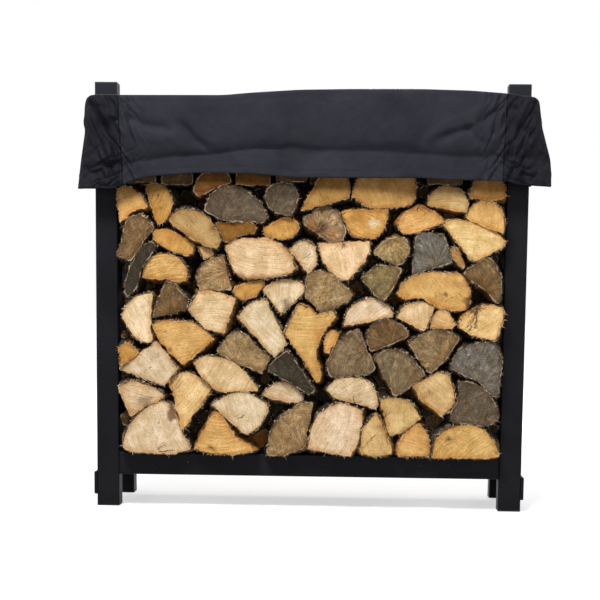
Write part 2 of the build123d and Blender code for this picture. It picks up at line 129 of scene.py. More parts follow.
class Nodes:
    """Adds nodes to a tree, and joins them."""

    def __init__(self, tree):
        self.tree = tree

    def put(self, value, socket):
        """Joins an output to a socket, or sets the socket's own value."""
        if isinstance(value, Wire):
            value = value.source
        if isinstance(value, bpy.types.Node):
            value = next(out for out in value.outputs if out.enabled)
        if isinstance(value, bpy.types.NodeSocket):
            self.tree.links.new(value, socket)
        else:
            socket.default_value = value

    def node(self, kind, inputs=None, **settings):
        made = self.tree.nodes.new(kind)
        for name, value in settings.items():
            setattr(made, name, value)
        for name, value in (inputs or {}).items():
            self.put(value, made.inputs[name])
        return made

    def add(self, kind, inputs=None, output=None, **settings):
        """A new node's main output, or the one that is named."""
        made = self.node(kind, inputs, **settings)
        return Wire(self, made if output is None else made.outputs[output])

    def outputs(self, kind, inputs=None, **settings):
        """All the outputs of a new node, by name."""
        return {out.name: Wire(self, out) for out in self.node(kind, inputs, **settings).outputs}

    def math(self, operation, *values):
        return self.add("ShaderNodeMath", dict(enumerate(values)), operation=operation)

    def noise(self, place, scale, detail=3.0, roughness=0.5, distortion=0.0):
        return self.add("ShaderNodeTexNoise", {"Vector": place, "Scale": scale, "Detail": detail,
                                               "Roughness": roughness, "Distortion": distortion}, "Fac")

    def ramp(self, value, low, high, to_low=0.0, to_high=1.0):
        inputs = {"Value": value, "From Min": low, "From Max": high, "To Min": to_low, "To Max": to_high}
        return self.add("ShaderNodeMapRange", inputs, "Result", interpolation_type="SMOOTHSTEP")

    def mix(self, share, first, second, blend="MIX"):
        """Mixes two colours, each a wire or three numbers."""
        first, second = [(*colour, 1) if isinstance(colour, tuple) else colour for colour in (first, second)]
        inputs = {0: share, 6: first, 7: second}
        return self.add("ShaderNodeMix", inputs, 2, data_type="RGBA", blend_type=blend)

    def tinted(self, colour, factor):
        return self.mix(1.0, colour, factor, "MULTIPLY")

    def scaled(self, place, scale):
        return self.add("ShaderNodeMapping", {"Vector": place, "Scale": scale}, "Vector")

    def object_place(self):
        return self.add("ShaderNodeTexCoord", output="Object")

    def attribute(self, name, output="Fac"):
        return self.add("ShaderNodeAttribute", output=output, attribute_name=name)

    def split(self, place):
        return list(self.outputs("ShaderNodeSeparateXYZ", {0: place}).values())

    def join(self, x, y, z=0.0):
        return self.add("ShaderNodeCombineXYZ", {"X": x, "Y": y, "Z": z})

    def length(self, place):
        return self.add("ShaderNodeVectorMath", {0: place}, "Value", operation="LENGTH")

    def flat_length(self, place):
        """Distance from the Y axis."""
        return self.length(self.add("ShaderNodeVectorMath", {0: place, 1: (1, 0, 1)}, operation="MULTIPLY"))

    def bump(self, height, distance, strength=1.0, normal=None):
        inputs = {"Height": height, "Distance": distance, "Strength": strength}
        if normal is not None:
            inputs["Normal"] = normal
        return self.add("ShaderNodeBump", inputs, "Normal")

    def random(self, low, high, seed):
        """A random number or vector for each point."""
        first, kind = (0, "FLOAT_VECTOR") if isinstance(low, tuple) else (2, "FLOAT")
        return self.add("FunctionNodeRandomValue", {first: low, first + 1: high, 8: seed}, data_type=kind)

    def even_line(self, base, step):
        """A mesh's edges as curves, with points a step apart."""
        line = self.add("GeometryNodeMeshToCurve", {"Mesh": base})
        return self.add("GeometryNodeResampleCurve", {"Curve": line, "Length": step}, mode="LENGTH")

    def turned_to(self, direction):
        return self.add("FunctionNodeAlignRotationToVector", {"Vector": direction}, axis="Z")

    def instances(self, points, instance, **inputs):
        return self.add("GeometryNodeInstanceOnPoints", {"Points": points, "Instance": instance, **inputs})


SOCKET_KINDS = {"Place": "NodeSocketVector", "Seed": "NodeSocketInt", "Base": "NodeSocketGeometry",
                "Made": "NodeSocketGeometry", "Finish": "NodeSocketMaterial"}


class Group(Nodes):
    """A node group with named inputs."""

    def __init__(self, name, *labels, kind="ShaderNodeTree"):
        super().__init__(bpy.data.node_groups.new(name, kind))
        self.open_sockets(labels, "INPUT")
        given = self.node("NodeGroupInput")
        self.given = [Wire(self, given.outputs[label]) for label in labels]

    def open_sockets(self, labels, way):
        for label in labels:
            kind = SOCKET_KINDS.get(label, "NodeSocketFloat")
            self.tree.interface.new_socket(name=label, in_out=way, socket_type=kind)

    def close(self, **results):
        self.open_sockets(results, "OUTPUT")
        self.node("NodeGroupOutput", results)
        return self.tree


class Surface(Nodes):
    """A material with a Principled BSDF."""

    def __init__(self, name, specular):
        self.made = bpy.data.materials.new(name)
        self.made.use_nodes = True
        super().__init__(self.made.node_tree)
        self.shader = self.tree.nodes["Principled BSDF"]
        self.shader.inputs["Specular IOR Level"].default_value = specular

    def finish(self, colour, roughness, normal):
        for label, value in (("Base Color", colour), ("Roughness", roughness), ("Normal", normal)):
            self.put(value, self.shader.inputs[label])
        return self.made


# Materials.

def growth_rings_group():
    """Rings around the heart of a log, from the place relative to its heart."""
    nodes = Group("growth_rings", "Place", "Spacing", "Wobble")
    place, spacing, wobble = nodes.given
    radius = nodes.flat_length(place)
    wander = (nodes.noise(place, 38.0, 2.0) - 0.5) * wobble
    turn = nodes.math("FRACT", (radius + wander) / spacing)
    return nodes.close(Rings=nodes.math("POWER", turn, 1.7), Radius=radius)


def drying_cracks_group():
    """Thin cracks that run out from the heart of a log, and a fan of rays."""
    nodes = Group("drying_cracks", "Place", "Count", "Width", "Star")
    place, count, width, star = nodes.given
    x, seed, z = nodes.split(place)
    wander = (nodes.noise(place, 60.0, 3.0) - 0.5) * 0.5
    spoke = nodes.math("ARCTAN2", z, x) + wander + seed
    around = nodes.join(spoke * count, seed)
    cells = nodes.add("ShaderNodeTexVoronoi", {"Vector": around, "Scale": 1.0}, "Distance",
                      feature="DISTANCE_TO_EDGE", voronoi_dimensions="2D")
    radius = nodes.flat_length(place)
    line = nodes.ramp(cells * radius, 0.0, width, 1.0, 0.0)
    patches = nodes.ramp(nodes.noise(place, 17.0, 1.0), 0.56, 0.64)
    where = nodes.math("MAXIMUM", patches, star * nodes.ramp(radius, 0.028, 0.018))
    fan = nodes.join(spoke * 11.0, radius * 26.0, seed)
    return nodes.close(Cracks=line * where, Rays=nodes.noise(fan, 1.0, 4.0, 0.65))


def saw_marks_group():
    """Uneven straight lines that a saw leaves, turned by the log's own seed."""
    nodes = Group("saw_marks", "Place", "Spacing", "Turn")
    place, spacing, turn = nodes.given
    x, seed, z = nodes.split(place)
    angle = seed * turn
    cosine, sine = nodes.math("COSINE", angle), nodes.math("SINE", angle)
    across = x * cosine + z * sine
    along = z * cosine - x * sine
    bow = along * along * 2.2
    spot = nodes.join((across + bow) / spacing, along / (spacing * 14.0), seed)
    return nodes.close(Height=nodes.noise(spot, 1.0, 3.0, 0.6))


GROWTH_RINGS = growth_rings_group()
DRYING_CRACKS = drying_cracks_group()
SAW_MARKS = saw_marks_group()


def sawn_end_material():
    """End grain: each log's own tone, with rings, saw marks, cracks, a knot, stains and a ragged rim whose pale
    lip is partly a painted highlight.
    """
    nodes = Surface("sawn_log_end", 0.2)
    ramp, noise = nodes.ramp, nodes.noise
    place = nodes.attribute("heart_place", "Vector")
    tone = nodes.attribute("tone", "Color")
    rim, edge, knot, grey, ringed, starred = [
        nodes.attribute(name) for name in ("rim", "edge", "knot", "weathered", "ringed", "starred")]

    def effect(tree, **inputs):
        return nodes.outputs("ShaderNodeGroup", {"Place": place, **inputs}, node_tree=tree)

    def wandering(value, scale, reach):
        return value + (noise(place, scale, 4.0, 0.65) - 0.5) * reach

    rings = effect(GROWTH_RINGS, Spacing=0.0067, Wobble=0.022)
    cracks = effect(DRYING_CRACKS, Count=1.9, Width=0.0008, Star=starred)
    saw = effect(SAW_MARKS, Spacing=0.0056, Turn=0.73)["Height"]
    scratches = effect(SAW_MARKS, Spacing=0.0019, Turn=1.9)["Height"]
    rays = cracks["Rays"]
    blotches = noise(place, 24.0, 4.0, 0.62)
    stains = noise(place, 66.0, 4.0, 0.68)
    grain = noise(place, 330.0, 3.0, 0.7)
    specks = noise(place, 190.0, 2.0, 0.6)
    clear_rings = ringed * (ramp(stains, 0.60, 0.36, 0.10, 0.62) + grey * 0.3)
    clear_rings = nodes.math("MAXIMUM", clear_rings, ramp(blotches, 0.3, 0.6, 0.12, 0.36))

    wood = nodes.mix(ramp(blotches, 0.36, 0.62), nodes.tinted(tone, (1.10, 1.105, 1.12)),
                     nodes.tinted(tone, (0.90, 0.84, 0.73)))
    shore = wandering(edge, 85.0, 0.024)
    inner = (
        (ramp(stains, 0.56, 0.70, 0.0, 0.5), (0.74, 0.65, 0.53)),
        (grey * ramp(noise(place, 42.0, 4.0, 0.7), 0.47, 0.62, 0.0, 0.8), (1.45, 1.42, 1.36)),
        (ramp(rings["Radius"], 0.05, 0.012, 0.0, 0.35), (0.86, 0.70, 0.52)),
        (ramp(rays, 0.50, 0.64) * (0.10 + grey * 0.8), (1.65, 1.64, 1.62)),
        (ramp(rays, 0.48, 0.36) * (0.15 + grey * 0.75), (0.62, 0.55, 0.48)),
        (rings["Rings"] * clear_rings, (0.62, 0.49, 0.37)),
        (ramp(saw, 0.42, 0.60, 0.0, 0.75) * ramp(stains, 0.64, 0.40, 0.25, 1.0), (0.80, 0.72, 0.61)),
        (ramp(scratches, 0.54, 0.68) * (0.15 + grey * 0.85), (1.50, 1.47, 1.42)),
        (ramp(grain, 0.35, 0.65, 0.0, 0.4), (0.78, 0.72, 0.64)),
        (ramp(specks, 0.63, 0.71, 0.0, 0.5), (0.42, 0.34, 0.26)))
    for share, factor in inner:
        wood = nodes.mix(share, wood, nodes.tinted(wood, factor))
    wood = nodes.mix(knot * 0.85, wood, (0.09, 0.045, 0.02))
    wood = nodes.mix(cracks["Cracks"] * 0.7, wood, (0.03, 0.018, 0.01))
    for share, factor in ((ramp(shore, 0.016, 0.001) * ((1.0 - grey) * 0.85), (0.80, 0.60, 0.36)),
                          (ramp(shore, 0.018, 0.002) * (grey * 0.7), (0.6, 0.55, 0.5))):
        wood = nodes.mix(share, wood, nodes.tinted(wood, factor))
    bark = nodes.mix(noise(place, 240.0, 3.0), (0.020, 0.011, 0.006), (0.13, 0.075, 0.035))
    wood = nodes.mix(ramp(wandering(rim, 150.0, 0.007), 0.0046, 0.0028), wood, bark)
    # Pale lip along the edge: torn fibres, partly a painted highlight where the edge catches the light.
    lip = wandering(edge, 170.0, 0.006)
    broken = ramp(noise(place, 55.0, 3.0), 0.44, 0.56) * (0.55 + grey * 0.3)
    wood = nodes.mix(ramp(lip, 0.0034, 0.0014) * broken, wood, nodes.mix(0.45, (0.66, 0.53, 0.35), tone))
    chewed = ramp(wandering(edge, 120.0, 0.016), 0.0012, -0.0010) * ramp(noise(place, 31.0, 2.0), 0.42, 0.54)
    wood = nodes.mix(chewed * 0.9, wood, bark)

    normal = nodes.bump(grain, 0.0016, 0.8)
    for relief in ((scratches, 0.0012, 0.6), (saw, 0.0030, 0.9), (rings["Rings"], 0.0007, 0.6),
                   (cracks["Cracks"] * -1.0, 0.002, 1.0)):
        normal = nodes.bump(*relief, normal)
    return nodes.finish(wood, ramp(grain, 0.3, 0.7, 0.72, 0.95), normal)


def away_from_ends(nodes, place, full):
    """0 near a log's ends and 1 further in than a given depth, where less light reaches: a mask for painted
    shade between the logs.
    """
    return nodes.ramp(abs(nodes.split(place)[1]), 0.212, full)


def bark_material():
    """Rough brown and grey bark with long furrows, and painted shade away from the log's ends."""
    nodes = Surface("log_bark", 0.12)
    place = nodes.object_place()
    furrows = nodes.noise(nodes.scaled(place, (110, 22, 110)), 1.0, 5.0, 0.65)
    patches = nodes.noise(place, 14.0, 3.0)
    fine = nodes.noise(place, 600.0, 2.0)
    dark = nodes.mix(nodes.ramp(patches, 0.35, 0.65), (0.016, 0.010, 0.006), (0.040, 0.032, 0.024))
    light = nodes.mix(0.12, (0.13, 0.092, 0.056), nodes.attribute("tone", "Color"))
    bark = nodes.mix(nodes.ramp(furrows, 0.44, 0.74), dark, light)
    # Painted shade: darker away from the log's ends, deep between the logs.
    bark = nodes.mix(away_from_ends(nodes, place, 0.185) * 0.55, bark, (0.012, 0.009, 0.006))
    return nodes.finish(bark, nodes.ramp(fine, 0.3, 0.7, 0.8, 0.98),
                        nodes.bump(fine, 0.0008, 0.5, nodes.bump(furrows, 0.006, 0.8)))


def split_material():
    """The long faces where a log was split, with fibres along it, and painted shade away from the log's ends.
    """
    nodes = Surface("split_log_face", 0.15)
    place = nodes.object_place()
    fibres = nodes.noise(nodes.scaled(place, (260, 9, 260)), 1.0, 4.0, 0.65)
    streaks = nodes.noise(nodes.scaled(place, (60, 4, 60)), 1.0, 3.0)
    tone = nodes.attribute("tone", "Color")
    wood = nodes.mix(nodes.ramp(streaks, 0.35, 0.7), nodes.tinted(tone, (0.62, 0.48, 0.34)),
                     nodes.tinted(tone, (0.28, 0.19, 0.12)))
    wood = nodes.mix(nodes.ramp(fibres, 0.42, 0.62, 0.0, 0.5), wood, nodes.tinted(tone, (0.2, 0.13, 0.08)))
    # Painted shade: darker away from the log's ends, deep between the logs.
    wood = nodes.mix(away_from_ends(nodes, place, 0.18) * 0.6, wood, nodes.tinted(wood, (0.3, 0.24, 0.18)))
    return nodes.finish(wood, nodes.ramp(fibres, 0.3, 0.7, 0.7, 0.92), nodes.bump(fibres, 0.002, 0.8))


def steel_material():
    """Satin black powder coat, a little mottled, with small chips near the ground and a painted highlight on
    the post tops.
    """
    nodes = Surface("black_powder_coat", 0.07)
    place = nodes.object_place()
    mottle = nodes.noise(place, 9.0, 3.0)
    height = nodes.split(place)[2]
    chips = nodes.ramp(nodes.noise(place, 130.0, 2.0, 0.6), 0.74, 0.765) * nodes.ramp(height, 0.3, 0.06)
    coat = nodes.mix(nodes.ramp(mottle, 0.3, 0.7), (0.0062, 0.0062, 0.0078), (0.0096, 0.0094, 0.0118))
    # Painted highlight: the post tops above the cover are lighter and bluer.
    coat = nodes.mix(nodes.ramp(height, 1.150, 1.168), coat, (0.019, 0.019, 0.026))
    peel = nodes.bump(nodes.noise(place, 900.0, 2.0), 0.0004, 0.25, nodes.bump(chips, 0.0004, -0.6))
    coat = nodes.mix(chips, coat, (0.16, 0.16, 0.165))
    return nodes.finish(coat, nodes.ramp(mottle, 0.3, 0.7, 0.40, 0.52), peel)


def fine_grained_material(name, specular, scale, noise_roughness, dark, light, rough, bump):
    """A plain finish with a fine even grain: moulded plastic or thread."""
    nodes = Surface(name, specular)
    grain = nodes.noise(nodes.object_place(), scale, 2.0, noise_roughness)
    return nodes.finish(nodes.mix(grain, dark, light), nodes.ramp(grain, 0.3, 0.7, *rough),
                        nodes.bump(grain, 0.0003, bump))


def cloth_material():
    """Black woven cloth: a fine plain weave, a soft bloom, painted shade on the end panels, seam lines and
    crumples.
    """
    nodes = Surface("black_cover_cloth", 0.08)
    flat = nodes.add("ShaderNodeUVMap", output="UV", uv_map="flat_cloth")
    place = nodes.object_place()
    warp, weft = [nodes.math("SINE", part * (2 * math.pi / WEAVE_PITCH)) for part in nodes.split(flat)[:2]]
    slubs = nodes.noise(nodes.scaled(flat, (700, 60, 1)), 1.0, 2.0)
    bloom = nodes.noise(place, 7.0, 4.0, 0.6)
    rub = nodes.noise(place, 45.0, 3.0, 0.6)
    past_seam = nodes.attribute("past_seam")
    colour = nodes.mix(nodes.ramp(bloom, 0.3, 0.7), (0.0145, 0.0145, 0.0205), (0.0225, 0.0225, 0.0300))
    colour = nodes.mix(nodes.ramp(rub, 0.55, 0.8, 0.0, 0.4), colour, (0.030, 0.030, 0.038))
    colour = nodes.mix(nodes.ramp(slubs, 0.5, 0.75, 0.0, 0.3), colour, (0.036, 0.036, 0.045))
    # Painted shade: the end panels past the seams are darker, though they are the same cloth.
    colour = nodes.mix(nodes.ramp(past_seam, -0.0006, 0.0006) * 0.62, colour, (0.003, 0.003, 0.005))
    hem_seam = nodes.ramp(abs(nodes.attribute("above_hem") - HEM_STITCH), 0.0020, 0.0005)
    sewn = nodes.math("MAXIMUM", nodes.ramp(abs(past_seam), 0.0030, 0.0010), hem_seam * 0.6)
    colour = nodes.mix(sewn * 0.85, colour, (0.003, 0.003, 0.004))
    x, y, z = nodes.split(place)
    mirrored = nodes.join(abs(x), y, z)

    def folds(turn, size):
        inputs = {"Vector": mirrored, "Rotation": (0.0, turn, 0.0), "Scale": size}
        slanted = nodes.add("ShaderNodeMapping", inputs, "Vector", vector_type="TEXTURE")
        return abs(nodes.noise(slanted, 1.0, 1.0, 0.45, 0.3) - 0.5)

    low_folds = folds(-0.95, (0.036, 0.060, 0.090)) * nodes.ramp(z, 1.03, 0.96)
    creased = folds(0.50, (0.036, 0.060, 0.120)) + low_folds
    crumpled = nodes.ramp(past_seam, -0.10, 0.01, 0.04, 1.0) * nodes.ramp(past_seam, 0.070, 0.099, 1.0, 0.35)
    normal = nodes.bump(creased, 0.085, crumpled)
    for relief in ((rub, 0.0008, 0.25), (warp * weft, 0.00018, 0.5), (sewn, 0.0012, -0.8)):
        normal = nodes.bump(*relief, normal)
    return nodes.finish(colour, nodes.ramp(rub, 0.3, 0.7, 0.62, 0.75), normal)


def litter_material():
    """Bark flakes, chips and torn fibres, each with its own tone."""
    nodes = Surface("torn_fibres_and_chips", 0.15)
    tone = nodes.attribute("tone", "Color")
    streaks = nodes.noise(nodes.scaled(nodes.object_place(), (500, 120, 500)), 1.0, 3.0, 0.6)
    wood = nodes.mix(nodes.ramp(streaks, 0.35, 0.7), tone, nodes.tinted(tone, (0.6, 0.5, 0.4)))
    return nodes.finish(wood, nodes.ramp(streaks, 0.3, 0.7, 0.75, 0.95), nodes.bump(streaks, 0.0006, 0.6))


# Pitch of the cloth's threads, and how far above the hem its stitches lie.
WEAVE_PITCH = 0.0011
HEM_STITCH = 0.0225
SAWN_END = sawn_end_material()
BARK = bark_material()
SPLIT = split_material()
STEEL = steel_material()
CAP = fine_grained_material("moulded_cap", 0.4, 1400.0, 0.5, (0.012, 0.012, 0.014), (0.02, 0.02, 0.023),
                            (0.45, 0.6), 0.4)
CLOTH_FINISH = cloth_material()
LITTER = litter_material()
THREAD = fine_grained_material("black_thread", 0.3, 1500.0, 0.6, (0.010, 0.010, 0.013), (0.030, 0.030, 0.036),
                               (0.5, 0.7), 0.5)


# Pieces that are grown from a base mesh.

def growth(name, *labels):
    """A geometry tree with a base mesh, a finish and its own named inputs."""
    nodes = Group(name, "Base", *labels, "Finish", kind="GeometryNodeTree")
    base, *given, nodes.coating = nodes.given
    return nodes, base, given


def made_real(nodes, shape):
    """Makes the instances real, gives them their finish and puts them out."""
    real = nodes.add("GeometryNodeRealizeInstances", {"Geometry": shape})
    coated = nodes.add("GeometryNodeSetMaterial", {"Geometry": real, "Material": nodes.coating})
    return nodes.close(Made=coated)


def fibres_tree():
    """Thin torn fibres that stand out along a line, in loose tufts."""
    nodes, base, (spacing, length, thickness, spread, share, seed) = growth(
        "torn_fibres", "Spacing", "Length", "Thickness", "Spread", "Share", "Seed")
    outward = nodes.add("GeometryNodeInputNamedAttribute", {"Name": "outward"}, data_type="FLOAT_VECTOR")
    jitter = nodes.random((-1, -1, -1), (1, 1, 1), seed)
    strayed = nodes.add("ShaderNodeVectorMath", {0: jitter, "Scale": spread}, operation="SCALE")
    toward = nodes.add("ShaderNodeVectorMath", {0: outward, 1: strayed}, operation="ADD")
    tufts = nodes.noise(nodes.add("GeometryNodeInputPosition"), 55.0, 2.0)
    kept = nodes.math("LESS_THAN", tufts + nodes.random(-0.22, 0.22, seed + 3), share)
    size = nodes.random(0.3, 1.0, seed + 5)
    wide = thickness * size
    fibre = nodes.add("GeometryNodeMeshCone", {"Vertices": 3, "Side Segments": 1, "Fill Segments": 1,
                                              "Radius Top": 0.0, "Radius Bottom": 1.0, "Depth": 1.0})
    return made_real(nodes, nodes.instances(
        nodes.even_line(base, spacing), fibre, Selection=kept, Rotation=nodes.turned_to(toward),
        Scale=nodes.join(wide, wide * 0.6, length * (size * size))))


def chips_tree():
    """Flat flakes of bark and wood that lie about on a surface, thickest where its litter value is high."""
    nodes, base, (density, length, width, pale_share, seed) = growth(
        "scattered_chips", "Density", "Length", "Width", "Pale Share", "Seed")
    litter = nodes.add("GeometryNodeInputNamedAttribute", {"Name": "litter"}, data_type="FLOAT")
    spots = nodes.outputs("GeometryNodeDistributePointsOnFaces", {
        "Mesh": base, "Seed": seed, "Density": litter * density})
    turn = nodes.random((-0.7, -0.7, 0.0), (0.7, 0.7, 6.28), seed + 1)
    turn = nodes.add("FunctionNodeEulerToRotation", {"Euler": turn})
    turned = nodes.add("FunctionNodeRotateRotation", {"Rotation": spots["Rotation"], "Rotate By": turn},
                       rotation_space="LOCAL")
    long = length * nodes.random(0.35, 1.0, seed + 2)
    wide = width * nodes.random(0.4, 1.0, seed + 4)
    flake = nodes.add("GeometryNodeMeshIcoSphere", {"Radius": 0.5, "Subdivisions": 1})
    placed = nodes.instances(spots["Points"], flake, Rotation=turned,
                             Scale=nodes.join(long, wide, wide * 0.22))
    pick = nodes.random(0.0, 1.0, seed + 6)
    pale = nodes.math("LESS_THAN", pick, pale_share)
    tone = nodes.mix(pale, nodes.mix(pick, (0.035, 0.02, 0.012), (0.20, 0.11, 0.05)), (0.72, 0.58, 0.38))
    return made_real(nodes, nodes.add("GeometryNodeStoreNamedAttribute", {
        "Geometry": placed, "Name": "tone", "Value": tone}, data_type="FLOAT_COLOR", domain="INSTANCE"))


def stitches_tree():
    """Short stitches laid end to end along a line, with small gaps."""
    nodes, base, (pitch, stitch, thread) = growth("stitch_line", "Pitch", "Stitch", "Thread")
    thread_end = nodes.add("GeometryNodeMeshCylinder", {"Vertices": 6, "Side Segments": 1, "Fill Segments": 1,
                                                       "Radius": thread, "Depth": stitch})
    return made_real(nodes, nodes.instances(nodes.even_line(base, pitch), thread_end,
                                            Rotation=nodes.turned_to(nodes.add("GeometryNodeInputTangent"))))


def piping_tree():
    """A round cord that follows closed lines."""
    nodes, base, (radius, step) = growth("round_bead", "Radius", "Step")
    profile = nodes.add("GeometryNodeCurvePrimitiveCircle", {"Resolution": 8, "Radius": radius})
    return made_real(nodes, nodes.add("GeometryNodeCurveToMesh", {
        "Curve": nodes.even_line(base, step), "Profile Curve": profile, "Fill Caps": True}))


def weld_tree():
    """A row of overlapping weld beads along a line."""
    nodes, base, (pitch, bead, seed) = growth("weld_row", "Pitch", "Bead", "Seed")
    size = bead * nodes.random(0.85, 1.15, seed)
    drop = nodes.add("GeometryNodeMeshIcoSphere", {"Radius": 1.0, "Subdivisions": 1})
    return made_real(nodes, nodes.instances(
        nodes.even_line(base, pitch), drop, Rotation=nodes.turned_to(nodes.add("GeometryNodeInputTangent")),
        Scale=nodes.join(size, size, size * 0.6)))


FIBRES = fibres_tree()
CHIPS = chips_tree()
STITCHES = stitches_tree()
PIPING = piping_tree()
WELDS = weld_tree()


def grow(name, base, tree, values, shade_smooth=True):
    """Runs a geometry tree on a base mesh and keeps the result as a plain piece that rides on the rack."""
    holder = bpy.data.objects.new(name, base)
    SCENE.collection.objects.link(holder)
    modifier = holder.modifiers.new("growth", "NODES")
    modifier.node_group = tree
    for socket in tree.interface.items_tree:
        if socket.in_out == "INPUT" and socket.name in values:
            modifier[socket.identifier] = values[socket.name]
    evaluated = holder.evaluated_get(bpy.context.evaluated_depsgraph_get())
    shape = bpy.data.meshes.new_from_object(evaluated)
    holder.modifiers.remove(modifier)
    shape.name = name
    holder.data = shape
    bpy.data.meshes.remove(base)
    shape.polygons.foreach_set("use_smooth", [shade_smooth] * len(shape.polygons))
    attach(holder, "root")


WELD_INSET = 0.0016


def line_mesh(name, lines, closed=False):
    """A mesh of edges that follows each line of points."""
    vertices, edges = [], []
    for line in lines:
        first = len(vertices)
        vertices += [tuple(point) for point in line]
        edges += [(first + index, first + index + 1) for index in range(len(line) - 1)]
        if closed:
            edges.append((first + len(line) - 1, first))
    mesh = bpy.data.meshes.new(name)
    mesh.from_pydata(vertices, edges, [])
    return mesh


# Steel frame.

def finish_steel():
    """The steel and the caps stay as the model has them, with their own finish."""
    for name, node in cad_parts.items():
        if name.startswith(("course_", "cover_")):
            continue
        node.data.materials.clear()
        node.data.materials.append(CAP if name.endswith("_caps") else STEEL)


# Firewood.

TONES = {
    "cream": (0.84, 0.69, 0.49),
    "pale gold": (0.83, 0.61, 0.30),
    "gold": (0.77, 0.49, 0.185),
    "orange gold": (0.60, 0.355, 0.105),
    "tan": (0.78, 0.60, 0.39),
    "pale tan": (0.79, 0.60, 0.37),
    "off white": (0.76, 0.63, 0.45),
    "shaded gold": (0.26, 0.125, 0.022),
    "grey brown": (0.315, 0.23, 0.118),
    "dark grey": (0.19, 0.145, 0.083),
    "brown grey": (0.160, 0.102, 0.048),
    "olive": (0.265, 0.190, 0.100),
    "slate": (0.170, 0.165, 0.150),
    "charcoal": (0.044, 0.037, 0.027),
    "green grey": (0.180, 0.138, 0.066),
    "pink grey": (0.265, 0.180, 0.105),
    "dull gold": (0.50, 0.345, 0.150),
    "umber grey": (0.120, 0.096, 0.066),
    "rust": (0.34, 0.150, 0.040),
    "rotten": (0.085, 0.038, 0.014),
    "pink bark": (0.42, 0.27, 0.19),
    "red bark": (0.17, 0.070, 0.035),
}
GREY_TONES = ("grey brown", "dark grey", "brown grey", "olive", "slate", "charcoal", "green grey",
              "pink grey", "umber grey")

# Tones of each node's logs from left to right.
LOG_TONES = {
    "course_1_fresh_logs": ["cream", "gold", "cream", "pale gold", "gold", "gold"],
    "course_1_grey_logs": ["grey brown"],
    "course_2_fresh_logs": ["tan", "pale gold", "cream", "cream", "cream", "pale gold", "pale gold"],
    "course_2_grey_logs": ["umber grey"],
    "course_3_fresh_logs": ["orange gold", "off white", "gold", "pale tan", "cream", "gold", "gold"],
    "course_3_grey_logs": ["grey brown", "charcoal", "dark grey", "dark grey", "olive", "slate"],
    "course_4_fresh_logs": ["cream", "pale tan", "cream", "pale tan", "pale gold", "pale gold"],
    "course_4_grey_logs": ["brown grey", "brown grey"],
    "course_5_fresh_logs": ["orange gold", "cream", "gold"],
    "course_5_grey_logs": ["grey brown", "green grey", "brown grey"],
    "course_6_fresh_logs": ["gold", "orange gold", "pale tan", "pale tan", "cream", "pale tan", "pale gold"],
    "course_6_grey_logs": ["brown grey", "charcoal", "grey brown", "grey brown", "slate", "dull gold"],
    "course_7_fresh_logs": ["shaded gold", "orange gold", "orange gold", "gold", "gold"],
    "course_7_grey_logs": ["pink grey"],
    "course_8_fresh_logs": ["gold", "orange gold", "dull gold", "shaded gold", "orange gold", "gold",
                            "pale gold", "orange gold"],
    "course_8_grey_logs": ["umber grey", "umber grey"],
}

# Knots in the sawn ends: X, Z and radius.
KNOTS = [(0.3937, 0.2075, 0.008), (0.448, 0.305, 0.010), (-0.1613, 0.4543, 0.007), (0.3828, 0.6102, 0.0085),
         (0.0324, 0.8001, 0.010), (-0.2732, 0.1726, 0.006), (-0.3911, 0.4485, 0.005), (-0.4077, 0.499, 0.004),
         (-0.2038, 0.8458, 0.005), (-0.4214, 0.8439, 0.0045), (-0.2734, 0.7878, 0.006), (0.2127, 0.4962, 0.005)]

# Stained places on the sawn ends: X, Z, half width, half height, tone and share.
STAINS = [(-0.1988, 0.6549, 0.040, 0.016, "rust", 0.75), (-0.140, 0.6500, 0.050, 0.012, "rust", 0.45),
          (0.4619, 0.589, 0.026, 0.030, "rotten", 0.85), (0.430, 0.640, 0.030, 0.014, "rust", 0.35),
          (0.0324, 0.8001, 0.022, 0.020, "dark grey", 0.7), (0.005, 0.800, 0.016, 0.026, "rust", 0.65),
          (0.062, 0.778, 0.018, 0.016, "rust", 0.45), (0.175, 0.8078, 0.020, 0.012, "off white", 0.7),
          (0.135, 0.822, 0.030, 0.012, "rust", 0.35), (-0.2312, 0.6703, 0.008, 0.036, "pink bark", 0.85),
          (-0.3859, 0.2698, 0.012, 0.030, "red bark", 0.85), (-0.460, 0.300, 0.022, 0.014, "rotten", 0.5),
          (-0.0608, 0.5705, 0.018, 0.026, "rotten", 0.6), (0.090, 0.7434, 0.024, 0.012, "tan", 0.5),
          (-0.2734, 0.7878, 0.016, 0.020, "rust", 0.7), (-0.335, 0.815, 0.050, 0.012, "olive", 0.25),
          (0.2066, 0.2336, 0.012, 0.012, "rust", 0.5), (0.2699, 0.2289, 0.014, 0.010, "rust", 0.5),
          (0.3937, 0.2075, 0.030, 0.016, "orange gold", 0.5), (-0.4389, 0.4353, 0.020, 0.016, "olive", 0.35),
          (-0.2732, 0.1726, 0.018, 0.010, "rust", 0.6), (0.330, 0.330, 0.020, 0.012, "rust", 0.4),
          (0.300, 0.360, 0.014, 0.030, "rust", 0.35), (0.498, 0.520, 0.026, 0.018, "orange gold", 0.6)]

# A place on each log whose growth rings show clearly, and on each that has split in a star.
RINGED_LOGS = [(0.495, 0.459), (0.05, 0.225), (0.2269, 0.25), (0.4587, 0.3065), (0.48, 0.53), (-0.09, 0.21),
               (0.41, 0.19)]
STAR_LOGS = [(0.1293, 0.3402)]

POINT_STEP = 0.0042
RING_STEP = 0.024
COARSE_RING_STEP = 0.06
LOG_SWELL = 0.012
SMALLEST_GAP = 0.006
# Turns of rounding off for a log and for a stick, whose outline has at most so many points.
LOG_ROUNDING = 14
STICK_ROUNDING = 2
STICK_POINTS = 30
# Sticks for narrow places that still let daylight through: X, Z and radius.
MORE_STICKS = [(0.140, 0.615, 0.012)]

